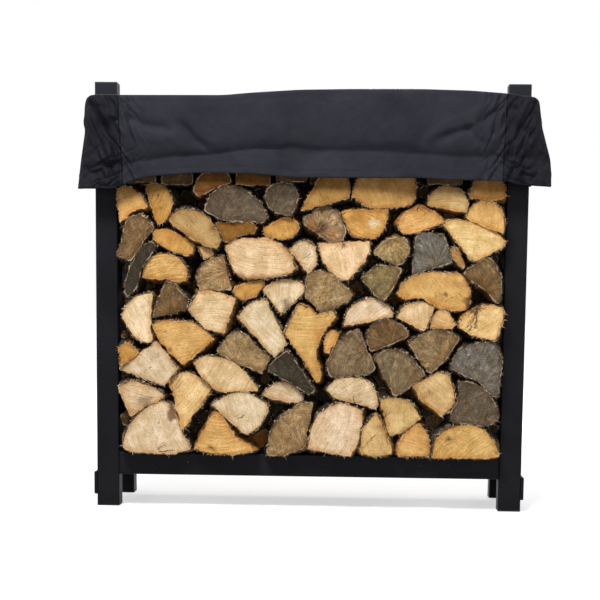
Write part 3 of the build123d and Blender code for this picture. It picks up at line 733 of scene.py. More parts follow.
# Where more bark and chips lie: X, Z, how far they reach and how thick they lie.
LITTER_SPOTS = [(-0.535, 0.684, 0.045, 1.0), (-0.467, 0.693, 0.035, 0.8), (0.014, 0.749, 0.035, 0.8),
                (-0.364, 0.613, 0.055, 1.0), (0.463, 0.597, 0.045, 0.9), (-0.058, 0.653, 0.04, 0.7),
                (-0.488, 0.854, 0.04, 1.0), (0.127, 0.663, 0.035, 0.8), (-0.539, 0.586, 0.04, 0.7),
                (0.530, 0.807, 0.03, 0.6), (-0.42, 0.17, 0.06, 0.8), (0.30, 0.36, 0.04, 0.6)]
# Filled in as the logs are made: the sawn rims, the log tops near both faces of the pile and the gaps.
SAWN_RIMS = []
CHIP_SHELVES = []
GAPS = []
# Painted shadow of the cover on the logs beneath it: by how much they darken, and between which heights.
COVER_SHADOW_SHARE = 0.55
COVER_SHADOW_BAND = (0.80, 0.925)
# How far the posts lean outwards for each metre of height.
POST_LEAN = 20.0 / 1206.0


def wall_at(height):
    """X of an end frame's inner face at a height."""
    rail_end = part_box("front_bottom_rail")[1]
    return rail_end.x + (height - rail_end.z) * POST_LEAN


def end_outlines(node):
    """The front outline of each log in a CAD node, counterclockwise, with the Y of both its ends."""
    mesh = bmesh.new()
    mesh.from_mesh(node.data)
    bmesh.ops.remove_doubles(mesh, verts=mesh.verts, dist=1e-6)
    waiting = set(mesh.verts)
    logs = []
    while waiting:
        island = [min(waiting, key=lambda vert: vert.index)]
        waiting.remove(island[0])
        for vert in island:
            for edge in vert.link_edges:
                other = edge.other_vert(vert)
                if other in waiting:
                    waiting.remove(other)
                    island.append(other)
        front = min(vert.co.y for vert in island)
        back = max(vert.co.y for vert in island)
        rim = {}
        for vert in island:
            if vert.co.y > front + 1e-5:
                continue
            rim[vert] = [edge.other_vert(vert) for edge in vert.link_edges
                         if edge.other_vert(vert).co.y < front + 1e-5
                         and any(abs(face.normal.y) < 0.5 for face in edge.link_faces)]
        start = min(rim, key=lambda vert: vert.index)
        loop = [start]
        last = None
        while True:
            onward = next(other for other in rim[loop[-1]] if other is not last)
            last = loop[-1]
            if onward is start:
                break
            loop.append(onward)
        points = np.array([(vert.co.x, vert.co.z) for vert in loop])
        if signed_area(points) < 0:
            points = points[::-1]
        logs.append((points, front, back))
    mesh.free()
    logs.sort(key=lambda log: log[0][:, 0].min() + log[0][:, 0].max())
    return logs


def signed_area(points):
    """Area inside an outline, below 0 where it runs clockwise."""
    onward = np.roll(points, -1, axis=0)
    return 0.5 * np.sum(points[:, 0] * onward[:, 1] - onward[:, 0] * points[:, 1])


def outward_normals(even):
    """The direction straight out from each point of an even outline."""
    chord = np.roll(even, -1, axis=0) - np.roll(even, 1, axis=0)
    normal = np.stack([chord[:, 1], -chord[:, 0]], axis=1)
    return normal / np.maximum(np.linalg.norm(normal, axis=1, keepdims=True), 1e-9)


def nearest(points, others):
    """How far each point is from the nearest of the others."""
    return np.linalg.norm(points[:, None, :] - others[None, :, :], axis=2).min(axis=1)


def even_outline(points, step):
    """The outline again with points about a step apart, its outward normals and which are corners."""
    even = []
    corner = []
    for index, start in enumerate(points):
        end = points[(index + 1) % len(points)]
        before = start - points[index - 1]
        after = end - start
        turn = abs(math.atan2(before[0] * after[1] - before[1] * after[0], before @ after))
        count = max(1, round(np.linalg.norm(after) / step))
        for part in range(count):
            even.append(start + after * part / count)
            corner.append(part == 0 and turn > 0.85)
    even = np.array(even)
    return even, outward_normals(even), np.array(corner)


def round_off(even, corner):
    """Rounds off an outline's small turns and keeps its real corners."""
    stiff = np.where(corner, 0.10, 0.5)[:, None]
    for turn in range(LOG_ROUNDING if len(even) > STICK_POINTS else STICK_ROUNDING):
        middle = (np.roll(even, 1, axis=0) + np.roll(even, -1, axis=0)) / 2
        even = even + stiff * (middle - even)
    return even, outward_normals(even)


def heart_of(points, even, normal):
    """Where the tree's heart was: the place whose spokes meet the bark squarely and skim the split faces."""
    onward = np.roll(points, -1, axis=0)
    best = None
    size = math.sqrt(abs(signed_area(points)))
    for heart in np.concatenate([points, (points + onward) / 2]):
        spoke = even - heart
        radius = np.linalg.norm(spoke, axis=1)
        square = np.sum(spoke * normal, axis=1) / np.maximum(radius, 1e-6)
        bark = (square > 0.72) & (radius > 0.45 * size)
        skimmed = (square < 0.35) | (radius < 0.2 * size)
        unclear = ~bark & ~skimmed
        if bark.sum() < 4:
            continue
        score = bark.mean() - 1.2 * unclear.mean() - 0.8 * radius[bark].std() / size
        if best is None or score > best[0]:
            best = (score, heart, bark)
    if best is None:
        return even.mean(axis=0), np.ones(len(even), bool)
    return best[1], best[2]


def cap_inside(even, step, rng):
    """Points inside an end, off the edge, on a loose grid."""
    low = even.min(axis=0)
    high = even.max(axis=0)
    columns, rows = np.meshgrid(np.arange(low[0], high[0], step), np.arange(low[1], high[1], step))
    points = np.stack([columns.ravel(), rows.ravel()], axis=1)
    points += rng.uniform(-0.25, 0.25, points.shape) * step
    inside = inside_outline(points, even)
    return points[inside & (nearest(points, even) > 0.55 * step)]


def log_mesh(outline, front, back, number, swell, ring_step=RING_STEP):
    """One split log: sawn ends, furrowed bark and torn split faces, fuller in its middle."""
    rng = np.random.default_rng(100 + number)
    even, normal, corner = even_outline(outline, POINT_STEP)
    heart, bark = heart_of(outline, even, normal)
    even, normal = round_off(even, corner)
    even = even + 0.0016 * normal
    centre = even.mean(axis=0)
    count = len(even)
    span = back - front
    near = [0.0, 0.0012, 0.004, 0.010, 0.020]
    middle = list(np.linspace(0.036, span - 0.036, max(2, round((span - 0.07) / ring_step))))
    stations = np.array(near + middle + [span - place for place in reversed(near)])
    tilt = rng.uniform(-0.11, 0.11, (2, 2))
    lean_front = (even - centre) @ tilt[0]
    lean_back = (even - centre) @ tilt[1]
    rings = []
    for index, station in enumerate(stations):
        share = station / span
        depth = front + station + lean_front * (1 - share) + lean_back * share
        from_end = min(station, span - station)
        inward = float(smooth_step(from_end, 0.0, 0.07))
        place = np.stack([even[:, 0], depth, even[:, 1]], axis=1)
        coarse = soft_noise(place * (80, 14, 80), number)
        torn = soft_noise(place * (115, 9, 115), number + 50)
        warp = soft_noise(place * (14, 6, 14), number + 90)
        wavy = soft_noise(place * (42, 6, 42), number + 170)
        fine = soft_noise(place * (240, 60, 240), number + 130)
        barked = 0.0034 * (0.6 - 2 * np.abs(coarse)) + 0.0018 * fine + 0.0034 * wavy
        riven = 0.0030 * torn + 0.0016 * fine + 0.0044 * wavy
        out = np.where(bark, barked, riven)
        out = out * (0.75 + 0.25 * inward) + inward * (0.0025 * warp + swell)
        if index in (0, len(stations) - 1):
            out = out - 0.0006 - 0.0007 * np.abs(soft_noise(place * (220, 5, 220), number + 9))
        moved = even + normal * out[:, None]
        rings.append(np.stack([moved[:, 0], depth, moved[:, 1]], axis=1))
    side = np.concatenate(rings)
    faces = []
    kinds = []
    for ring in range(len(stations) - 1):
        for point in range(count):
            beside = (point + 1) % count
            faces.append((ring * count + point, (ring + 1) * count + point,
                          (ring + 1) * count + beside, ring * count + beside))
            kinds.append(1 if bark[point] and bark[beside] else 2)
    inner = cap_inside(even, POINT_STEP * 1.6, rng)
    vertices = [side]
    edges = [np.zeros(len(side))]
    total = len(side)
    for at_back in (False, True):
        rim_ring = rings[-1] if at_back else rings[0]
        flat = np.concatenate([rim_ring[:, [0, 2]], inner])
        border = [(point, (point + 1) % count) for point in range(count)]
        found = geometry.delaunay_2d_cdt([Vector(point) for point in flat], border, [], 1, 1e-7)
        lean = (inner - centre) @ (tilt[1] if at_back else tilt[0])
        depth = (back if at_back else front) + lean
        spot = np.stack([inner[:, 0], depth, inner[:, 1]], axis=1)
        depth = depth + 0.0009 * soft_noise(spot * (60, 1, 60), number + 3)
        vertices.append(np.stack([inner[:, 0], depth, inner[:, 1]], axis=1))
        edges.append(nearest(inner, even))
        base = (len(stations) - 1) * count if at_back else 0
        index_of = {}
        for made, sources in enumerate(found[3]):
            spot = np.array(found[0][made])
            source = sources[0] if sources else int(np.argmin(np.sum((flat - spot) ** 2, axis=1)))
            index_of[made] = base + source if source < count else total + source - count
        for triangle in found[2]:
            corners = [index_of[made] for made in triangle]
            if len(set(corners)) < 3:
                continue
            flat_corners = np.array([found[0][made][:] for made in triangle])
            if (signed_area(flat_corners) < 0) != at_back:
                corners.reverse()
            faces.append(tuple(corners))
            kinds.append(0)
        total += len(inner)
    vertices = np.concatenate(vertices)
    ring_of = np.full(len(vertices), -1)
    ring_of[:len(side)] = np.repeat(np.arange(len(stations)), count)
    sharp = np.zeros(len(vertices), bool)
    sharp[:len(side)] = np.tile(corner, len(stations))
    return {"vertices": vertices, "faces": faces, "kinds": kinds, "ring": ring_of, "sharp": sharp,
            "rings": len(stations), "heart": heart, "bark": even[bark], "edge": np.concatenate(edges),
            "count": count, "normal": normal}


def stay_between(vertices):
    """Keeps a log inside the leaning ends and on top of the rails."""
    rail_low, rail_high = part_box("front_bottom_rail")
    reach = wall_at(vertices[:, 2]) - 0.0004
    rough = 0.0012 * np.abs(soft_noise(vertices * (60, 20, 60), 5))
    over = np.abs(vertices[:, 0]) > reach
    vertices[over, 0] = np.sign(vertices[over, 0]) * (reach - rough)[over]
    depth = np.abs(vertices[:, 1])
    on_rail = (depth < -rail_low.y + 0.003) & (depth > -rail_high.y - 0.003)
    lowest = np.where(on_rail, rail_high.z + 0.0002, rail_high.z - 0.006)
    vertices[:, 2] = np.maximum(vertices[:, 2], lowest)
    vertices[:, 2] = np.minimum(vertices[:, 2], top_height(vertices[:, 0], vertices[:, 1]) - 0.003)
    covered = vertices[:, 2] > 0.885
    vertices[covered, 1] = np.clip(vertices[covered, 1], -0.2275, 0.2275)
    return vertices


def note_rims(made, spots, tone):
    """Keeps a log's sawn rims for its torn fibres, and its upper edges for chips to lie on."""
    count, last, normal = made["count"], made["rings"] - 1, made["normal"]
    pale = 0.45 * np.array([0.70, 0.56, 0.36]) + 0.55 * np.array(tone) * 1.1
    for ring, toward in ((0, -1.0), (last, 1.0)):
        line = spots[ring * count:(ring + 1) * count]
        outward = np.stack([normal[:, 0], np.full(count, 0.7 * toward), normal[:, 1] - 0.15], axis=1)
        SAWN_RIMS.append({"line": line, "outward": outward, "tone": np.tile([*pale, 1.0], (count, 1))})
    for rings in ((1, 2, 3, 4), (last - 4, last - 3, last - 2, last - 1)):
        faces = []
        for step in range(3):
            for point in range(count):
                beside = (point + 1) % count
                if min(normal[point, 1], normal[beside, 1]) > 0.15:
                    faces.append((step * count + point, (step + 1) * count + point,
                                  (step + 1) * count + beside, step * count + beside))
        if faces:
            shelf = np.concatenate([spots[ring * count:(ring + 1) * count] for ring in rings])
            CHIP_SHELVES.append({"vertices": shelf, "faces": faces})


def dress_logs(name, logs, tones, first_number, swell, ring_step=RING_STEP, torn=False):
    """Several logs as one detailed piece, each with its own tone and heart."""
    vertices, faces, kinds, rings, sharp = [], [], [], [], []
    hearts, tone_rows, rims, knots, edges, greys, ringed, starred = [], [], [], [], [], [], [], []
    total = 0
    last_rings = []
    for index, (outline, front, back) in enumerate(logs):
        number = first_number + index
        made = log_mesh(outline, front, back, number, swell, ring_step)
        spots = stay_between(made["vertices"])
        rng = np.random.default_rng(500 + number)
        tone = np.array(TONES[tones[index]]) * rng.uniform(0.95, 1.05) * (1 + rng.uniform(-0.02, 0.02, 3))
        place = np.zeros((len(spots), 3))
        place[:, 0] = spots[:, 0] - made["heart"][0]
        place[:, 1] = number * 1.37
        place[:, 2] = spots[:, 2] - made["heart"][1]
        rim = np.full(len(spots), 0.05)
        if len(made["bark"]):
            rim = nearest(spots[:, [0, 2]], made["bark"])
        knot = np.zeros(len(spots))
        for knot_x, knot_z, radius in KNOTS:
            away = np.hypot(spots[:, 0] - knot_x, spots[:, 2] - knot_z)
            knot = np.maximum(knot, 1 - smooth_step(away, 0.55 * radius, radius))
        # Painted shadow of the cover: the tone darkens towards the top, on the logs and on their torn fibres.
        cover_shadow = 1 - COVER_SHADOW_SHARE * smooth_step(spots[:, 2], *COVER_SHADOW_BAND)
        if torn:
            note_rims(made, spots, tone * cover_shadow.mean())
        stained_and_shaded = tone[None, :] * cover_shadow[:, None] ** (0.9, 1.0, 1.1)
        wander = 0.45 * soft_noise(spots * (90, 1, 90), 61) + 0.25 * soft_noise(spots * (200, 1, 200), 62)
        for x, z, half_x, half_z, stain, share in STAINS:
            away = np.hypot((spots[:, 0] - x) / half_x, (spots[:, 2] - z) / half_z) + wander
            share = share * (1 - smooth_step(away, 0.6, 1.1)) * (spots[:, 1] < 0)
            stained_and_shaded += share[:, None] * (np.array(TONES[stain]) - stained_and_shaded)
        clear = [float(any(inside_outline(np.array([spot]), outline)[0] for spot in chosen))
                 for chosen in (RINGED_LOGS, STAR_LOGS)]
        vertices.append(spots)
        faces += [tuple(corner + total for corner in face) for face in made["faces"]]
        kinds += made["kinds"]
        rings.append(made["ring"] + 1000 * index * (made["ring"] >= 0))
        last_rings.append(1000 * index + made["rings"] - 1)
        sharp.append(made["sharp"])
        hearts.append(place)
        tone_rows.append(np.concatenate([stained_and_shaded, np.ones((len(spots), 1))], axis=1))
        ringed.append(np.full(len(spots), clear[0]))
        starred.append(np.full(len(spots), clear[1]))
        rims.append(rim)
        knots.append(knot)
        edges.append(made["edge"])
        greys.append(np.full(len(spots), float(tones[index] in GREY_TONES)))
        total += len(spots)
    piece = new_piece(name, np.concatenate(vertices), faces, [SAWN_END, BARK, SPLIT])
    mesh = piece.data
    mesh.polygons.foreach_set("material_index", kinds)
    mesh.polygons.foreach_set("use_smooth", [True] * len(kinds))
    ring = np.concatenate(rings)
    corner = np.concatenate(sharp)
    ends = np.empty(len(mesh.edges) * 2, np.int32)
    mesh.edges.foreach_get("vertices", ends)
    ends = ends.reshape(-1, 2)
    at_end = np.isin(ring, [1000 * index for index in range(len(logs))] + last_rings)
    around = (ring[ends[:, 0]] == ring[ends[:, 1]]) & at_end[ends[:, 0]]
    along = corner[ends[:, 0]] & corner[ends[:, 1]] & (np.abs(ring[ends[:, 0]] - ring[ends[:, 1]]) == 1)
    note(mesh, "sharp_edge", around | along, "BOOLEAN", "EDGE")
    note(mesh, "heart_place", np.concatenate(hearts), "FLOAT_VECTOR")
    note(mesh, "tone", np.concatenate(tone_rows), "FLOAT_COLOR")
    for label, values in (("rim", rims), ("knot", knots), ("edge", edges), ("weathered", greys),
                          ("ringed", ringed), ("starred", starred)):
        note(mesh, label, np.concatenate(values))
    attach(piece, "root")
    return piece


def inside_outline(points, outline):
    """Which points lie inside an outline."""
    inside = np.zeros(len(points), bool)
    for start, end in zip(outline, np.roll(outline, -1, axis=0)):
        crosses = (start[1] > points[:, 1]) != (end[1] > points[:, 1])
        with np.errstate(divide="ignore", invalid="ignore"):
            at = start[0] + (points[:, 1] - start[1]) * (end[0] - start[0]) / (end[1] - start[1])
        inside ^= crosses & (points[:, 0] < at)
    return inside


def gaps_between(outlines):
    """The roomiest places between the logs: X, Z and the radius of the circle that fits there."""
    edge = np.concatenate([even_outline(outline, 0.004)[0] for outline in outlines])
    columns = np.arange(-0.52, 0.5201, 0.0035)
    rows = np.arange(0.162, 0.93, 0.0035)
    grid = np.stack([part.ravel() for part in np.meshgrid(columns, rows)], axis=1)
    free = np.ones(len(grid), bool)
    for outline in outlines:
        low = outline.min(axis=0)
        high = outline.max(axis=0)
        near = np.all((grid > low) & (grid < high), axis=1)
        free[near] &= ~inside_outline(grid[near], outline)
    grid = grid[free]
    room = np.array([np.sqrt(np.min(np.sum((edge - spot) ** 2, axis=1))) for spot in grid])
    room = np.minimum(room, np.minimum(wall_at(grid[:, 1]) - np.abs(grid[:, 0]), grid[:, 1] - 0.1535))
    found = []
    while room.max() > SMALLEST_GAP:
        best = int(np.argmax(room))
        found.append((*grid[best], room[best]))
        room = np.where(np.linalg.norm(grid - grid[best], axis=1) < 1.7 * room[best], 0, room)
    return found


def wedge_in_kindling(outlines):
    """Thin split sticks pushed into the gaps between the logs, a little way in from both ends."""
    rng = np.random.default_rng(9)
    logs = []
    GAPS.extend(gaps_between(outlines))
    for x, z, room in GAPS + MORE_STICKS:
        sides = rng.integers(5, 8)
        angles = np.sort(rng.uniform(0, 2 * math.pi, sides) * 0.25 + np.arange(sides) * 2 * math.pi / sides)
        reach = room * rng.uniform(0.95, 1.3, sides)
        outline = np.stack([x + reach * np.cos(angles), z + reach * np.sin(angles)], axis=1)
        logs.append((outline, rng.uniform(-0.172, -0.13), rng.uniform(0.13, 0.172)))
    # Mostly charcoal tones: the sticks are dark as painted shade deep in the gaps.
    choice = ("charcoal", "brown grey", "dark grey", "charcoal", "shaded gold", "charcoal")
    tones = [choice[rng.integers(0, 6)] for log in logs]
    dress_logs("wedged_kindling", logs, tones, 700, 0.002, COARSE_RING_STEP)


def stack_firewood():
    """Every course in its detailed form, in place of the plain logs, with kindling in the gaps."""
    number = 0
    outlines = []
    for name in sorted(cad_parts):
        if not name.startswith("course_"):
            continue
        hidden = name.startswith(("course_9", "course_10"))
        logs = end_outlines(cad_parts[name])
        # The hidden courses under the cover take dark tones as painted shade.
        tones = LOG_TONES.get(name, (["brown grey", "charcoal", "shaded gold"] * len(logs))[:len(logs)])
        swell, ring_step = (0.0, COARSE_RING_STEP) if hidden else (LOG_SWELL, RING_STEP)
        piece = dress_logs(name.replace("_logs", "_split"), logs, tones, number, swell, ring_step,
                           torn=not hidden)
        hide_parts(name)
        outlines += [outline for outline, front, back in logs]
        number += len(logs)
    wedge_in_kindling(outlines)


def tear_out_fibres():
    """Torn fibres along the sawn rims, and longer strands that hang here and there."""
    lines = [rim["line"] for rim in SAWN_RIMS]
    labels = ("Spacing", "Length", "Thickness", "Spread", "Share", "Seed")
    for name, *values in (("torn_rim_fibres", 0.0026, 0.0095, 0.0009, 0.9, 0.47, 4),
                          ("hanging_strands", 0.018, 0.021, 0.0008, 1.1, 0.42, 19)):
        base = line_mesh(name, lines, closed=True)
        outward = np.concatenate([rim["outward"] for rim in SAWN_RIMS]).astype(np.float32)
        if name == "hanging_strands":
            outward[:, 1] *= 0.4
            outward[:, 2] -= 0.5
        note(base, "outward", outward, "FLOAT_VECTOR")
        note(base, "tone", np.concatenate([rim["tone"] for rim in SAWN_RIMS]), "FLOAT_COLOR")
        values = {**dict(zip(labels, values)), "Finish": LITTER}
        grow(name, base, FIBRES, values, shade_smooth=False)


def scatter_chips():
    """Bark flakes and chips that lie on the logs near both faces of the pile, thickest beside the gaps."""
    vertices = np.concatenate([shelf["vertices"] for shelf in CHIP_SHELVES])
    faces = []
    total = 0
    for shelf in CHIP_SHELVES:
        faces += [tuple(corner + total for corner in face) for face in shelf["faces"]]
        total += len(shelf["vertices"])
    litter = np.full(len(vertices), 0.08)
    patchy = soft_noise(vertices * (16, 3, 16), 88)
    litter += 0.5 * smooth_step(patchy, 0.25, 0.6)
    for spot_x, spot_z, reach, amount in LITTER_SPOTS:
        away = np.hypot(vertices[:, 0] - spot_x, vertices[:, 2] - spot_z)
        litter = np.maximum(litter, amount * (1 - smooth_step(away, 0.5 * reach, reach)))
    for gap_x, gap_z, room in GAPS:
        away = np.hypot(vertices[:, 0] - gap_x, vertices[:, 2] - (gap_z - 0.6 * room))
        litter = np.maximum(litter, 0.35 * (1 - smooth_step(away, 0.4 * room, 1.5 * room)))
    litter *= 1 - smooth_step(vertices[:, 2], 0.90, 0.93)
    base = bpy.data.meshes.new("chip_shelves")
    base.from_pydata(vertices.tolist(), [], faces)
    note(base, "litter", litter)
    values = {"Density": 42000.0, "Length": 0.019, "Width": 0.0062, "Pale Share": 0.4, "Seed": 12,
              "Finish": LITTER}
    grow("scattered_chips", base, CHIPS, values, shade_smooth=False)


def rectangle(centre, normal_axis, half_first, half_second):
    """The corners of a rectangle around a centre, square to one axis."""
    axes = [axis for axis in range(3) if axis != normal_axis]
    corners = []
    for first, second in ((-1, -1), (1, -1), (1, 1), (-1, 1)):
        corner = list(centre)
        corner[axes[0]] += first * half_first
        corner[axes[1]] += second * half_second
        corners.append(corner)
    return corners


def lay_weld_beads():
    """Weld beads around the bars where they meet the posts, and around the rails' ends."""
    lines = []
    for side in ("left", "right"):
        for height in ("top", "middle", "lower"):
            low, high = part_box(f"{side}_{height}_bar")
            centre, half = (low + high) / 2, (high - low) / 2
            for y in (low.y + WELD_INSET, high.y - WELD_INSET):
                lines.append(rectangle((centre.x, y, centre.z), 1, half.x, half.z))
    for name in ("front_bottom_rail", "rear_bottom_rail"):
        low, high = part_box(name)
        centre, half = (low + high) / 2, (high - low) / 2
        for x in (low.x + WELD_INSET, high.x - WELD_INSET):
            lines.append(rectangle((x, centre.y, centre.z), 0, half.y, half.z))
    grow("weld_beads", line_mesh("weld_lines", lines, closed=True), WELDS,
         {"Pitch": 0.0032, "Bead": 0.0024, "Seed": 3, "Finish": STEEL})


# Cover.

# Heights along the front, read at the cover's own distance: X and Z in metres.
COVER_TOP = [(-0.66, 1.1626), (-0.54, 1.1632), (-0.245, 1.1645), (-0.172, 1.1716), (-0.032, 1.1808),
             (0.113, 1.1835), (0.305, 1.1845), (0.447, 1.181), (0.5485, 1.1735), (0.6, 1.1655), (0.66, 1.1626)]
COVER_HEM = [(-0.67, 0.899), (-0.611, 0.8967), (-0.5233, 0.8975), (-0.47, 0.9203), (-0.4138, 0.9348),
             (-0.307, 0.944), (-0.22, 0.9447), (-0.1218, 0.9399), (-0.0266, 0.9323), (0.1159, 0.9334),
             (0.2775, 0.9347), (0.3554, 0.9297), (0.4997, 0.9281), (0.5414, 0.9173), (0.6134, 0.9123),
             (0.68, 0.9156)]
COVER_CREASE = [(-0.66, 0.955), (-0.524, 0.9648), (-0.4509, 0.9794), (-0.3947, 0.9882), (-0.2823, 0.9946),
                (-0.1982, 1.0092), (-0.13, 1.014), (0.0257, 1.0081), (0.1374, 1.0089), (0.2071, 1.0066),
                (0.3324, 0.9992), (0.4158, 0.9942), (0.5405, 0.9951), (0.66, 0.99)]
# How far the cover reaches sideways at each height: Z and X.
LEFT_REACH = [(0.89, 0.657), (0.902, 0.656), (0.9779, 0.6484), (1.0622, 0.6375), (1.0846, 0.6432),
              (1.1043, 0.6402), (1.135, 0.6392), (1.1465, 0.636), (1.17, 0.634)]
RIGHT_REACH = [(0.89, 0.6725), (0.9156, 0.6715), (0.96, 0.6705), (0.9905, 0.6679), (1.03, 0.6575),
               (1.0792, 0.6447), (1.1403, 0.6375), (1.17, 0.634)]
LEFT_SEAM = [(0.89, -0.5258), (1.0068, -0.5329), (1.17, -0.5462)]
RIGHT_SEAM = [(0.89, 0.5345), (1.0424, 0.54), (1.17, 0.5468)]

# Folds in the front: the ends of each in X and Z, its half width and how far it stands out.
COVER_FOLDS = [
    ((-0.545, 1.150), (-0.500, 1.085), 0.010, -0.0060),
    ((-0.505, 1.092), (-0.400, 1.062), 0.013, -0.0070),
    ((-0.520, 1.070), (-0.420, 1.035), 0.016, 0.0050),
    ((-0.365, 1.078), (-0.285, 1.005), 0.010, -0.0075),
    ((-0.345, 1.092), (-0.258, 1.022), 0.015, 0.0055),
    ((-0.380, 1.155), (-0.350, 1.085), 0.018, 0.0035),
    ((-0.400, 1.050), (-0.330, 1.000), 0.020, 0.0040),
    ((-0.640, 1.150), (-0.560, 1.115), 0.009, -0.0055),
    ((-0.620, 1.140), (-0.560, 1.055), 0.011, -0.0080),
    ((-0.590, 1.155), (-0.540, 1.110), 0.010, 0.0065),
    ((-0.640, 1.100), (-0.570, 1.010), 0.014, 0.0060),
    ((-0.590, 1.080), (-0.545, 0.990), 0.012, -0.0065),
    ((-0.610, 0.922), (-0.535, 0.975), 0.010, -0.0075),
    ((-0.625, 0.965), (-0.560, 0.990), 0.018, 0.0060),
    ((0.525, 1.142), (0.330, 1.050), 0.014, 0.0080),
    ((0.515, 1.118), (0.350, 1.034), 0.012, -0.0080),
    ((0.400, 1.075), (0.300, 1.040), 0.018, -0.0040),
    ((0.450, 1.095), (0.505, 1.045), 0.010, 0.0065),
    ((0.430, 1.075), (0.480, 1.028), 0.011, -0.0070),
    ((0.470, 1.070), (0.520, 1.050), 0.009, -0.0050),
    ((0.555, 1.118), (0.620, 1.158), 0.009, -0.0075),
    ((0.570, 1.150), (0.630, 1.060), 0.011, 0.0070),
    ((0.560, 1.140), (0.600, 1.030), 0.010, -0.0075),
    ((0.590, 1.070), (0.650, 1.020), 0.011, -0.0060),
    ((0.555, 1.040), (0.640, 1.050), 0.013, 0.0050),
    ((0.550, 0.990), (0.615, 0.962), 0.010, 0.0070),
    ((0.605, 0.972), (0.592, 0.925), 0.008, -0.0070),
    ((0.080, 1.175), (0.040, 1.060), 0.036, 0.0035),
    ((-0.200, 1.160), (-0.120, 1.040), 0.040, 0.0030),
    ((0.200, 1.170), (0.260, 1.060), 0.030, -0.0030),
    ((0.150, 1.020), (0.300, 1.012), 0.012, -0.0040),
    ((-0.070, 1.018), (0.020, 1.003), 0.010, -0.0045),
    ((-0.090, 1.000), (-0.060, 0.945), 0.012, -0.0060),
    ((-0.240, 0.990), (-0.200, 0.950), 0.014, -0.0040),
]

# Folds in both ends: the ends of each in Y and Z, its half width and how far it stands out.
END_FOLDS = [
    ((-0.150, 1.150), (-0.060, 0.990), 0.014, -0.0060),
    ((-0.170, 1.145), (-0.120, 1.010), 0.012, 0.0055),
    ((-0.120, 1.150), (0.060, 1.080), 0.015, -0.0050),
    ((0.150, 1.150), (0.080, 1.000), 0.013, -0.0060),
    ((0.175, 1.140), (0.140, 1.020), 0.012, 0.0055),
    ((0.120, 1.140), (-0.030, 1.060), 0.016, 0.0050),
    ((-0.200, 0.930), (-0.080, 0.985), 0.014, 0.0060),
    ((0.050, 0.930), (0.190, 0.990), 0.013, -0.0055),
    ((-0.020, 1.010), (0.110, 0.985), 0.011, -0.0045),
]

POST_SIDE = 0.0635
POST_SLOT_ROOM = 0.0015
# Height of a post's top, where it reaches furthest out, and of the slots it comes through.
POST_TOP = 1.203
SLOT_HEIGHT = 1.163
# How far the cover's top reaches sideways and to the front and back, before its rounded shoulder.
COVER_REACH = 0.634
COVER_DEPTH = 0.2385
# How far down the side hangs on the flat cloth.
COVER_FALL = 0.245
SHOULDER = 0.012
CLOTH = 0.0016
COVER_STEP = 0.0065
COVER_DROPS = 45
# Where the seams cross the top, and how far the stitches lie from the seams.
TOP_SEAM = 0.546
STITCH_ASIDE = 0.0045


def soft_line(value, points, blur=0.02):
    """A curve through listed points, with its corners rounded off."""
    places, heights = zip(*points)
    shifts = np.linspace(-blur, blur, 9)
    return np.mean([np.interp(value + shift, places, heights) for shift in shifts], axis=0)


def top_height(x, y):
    """Height of the cover's top, which lies on the bars and highest logs and climbs the posts a little."""
    place = np.stack([x * 9, y * 11, np.zeros_like(x)], axis=-1).reshape(-1, 3)
    lumps = soft_noise(place, 21).reshape(np.shape(x))
    inside = smooth_step(0.60 - np.abs(x), 0.0, 0.08) * smooth_step(0.225 - np.abs(y), 0.0, 0.06)
    creases = soft_noise(place * (4, 3, 1), 23).reshape(np.shape(x)) * 0.0012
    slot_x, slot_y = post_slots()
    off_x = np.maximum(np.maximum(slot_x[0] - np.abs(x), np.abs(x) - slot_x[1]), 0)
    off_y = np.maximum(np.maximum(slot_y[0] - np.abs(y), np.abs(y) - slot_y[1]), 0)
    climb = 0.0055 * np.exp(-(np.hypot(off_x, off_y) / 0.014) ** 1.5)
    slope = 0.012 * smooth_step(np.abs(x), 0.614, 0.640)
    return soft_line(x, COVER_TOP) + (0.0035 * lumps + creases) * inside + climb - slope


def add_folds(out, across_place, height_place, folds):
    """Adds listed folds, each a soft ridge or valley that fades towards its ends."""
    for (start_a, start_z), (end_a, end_z), half, height in folds:
        run = np.array([end_a - start_a, end_z - start_z])
        length = np.linalg.norm(run)
        run /= length
        along = ((across_place - start_a) * run[0] + (height_place - start_z) * run[1]) / length
        across = -(across_place - start_a) * run[1] + (height_place - start_z) * run[0]
        across = across + 0.25 * half * np.sin(7.0 * along + 40.0 * start_a)
        taper = smooth_step(along, -0.25, 0.2) * (1 - smooth_step(along, 0.75, 1.25))
        out = out + height * taper * np.exp(-(across / half) ** 2)
    return out


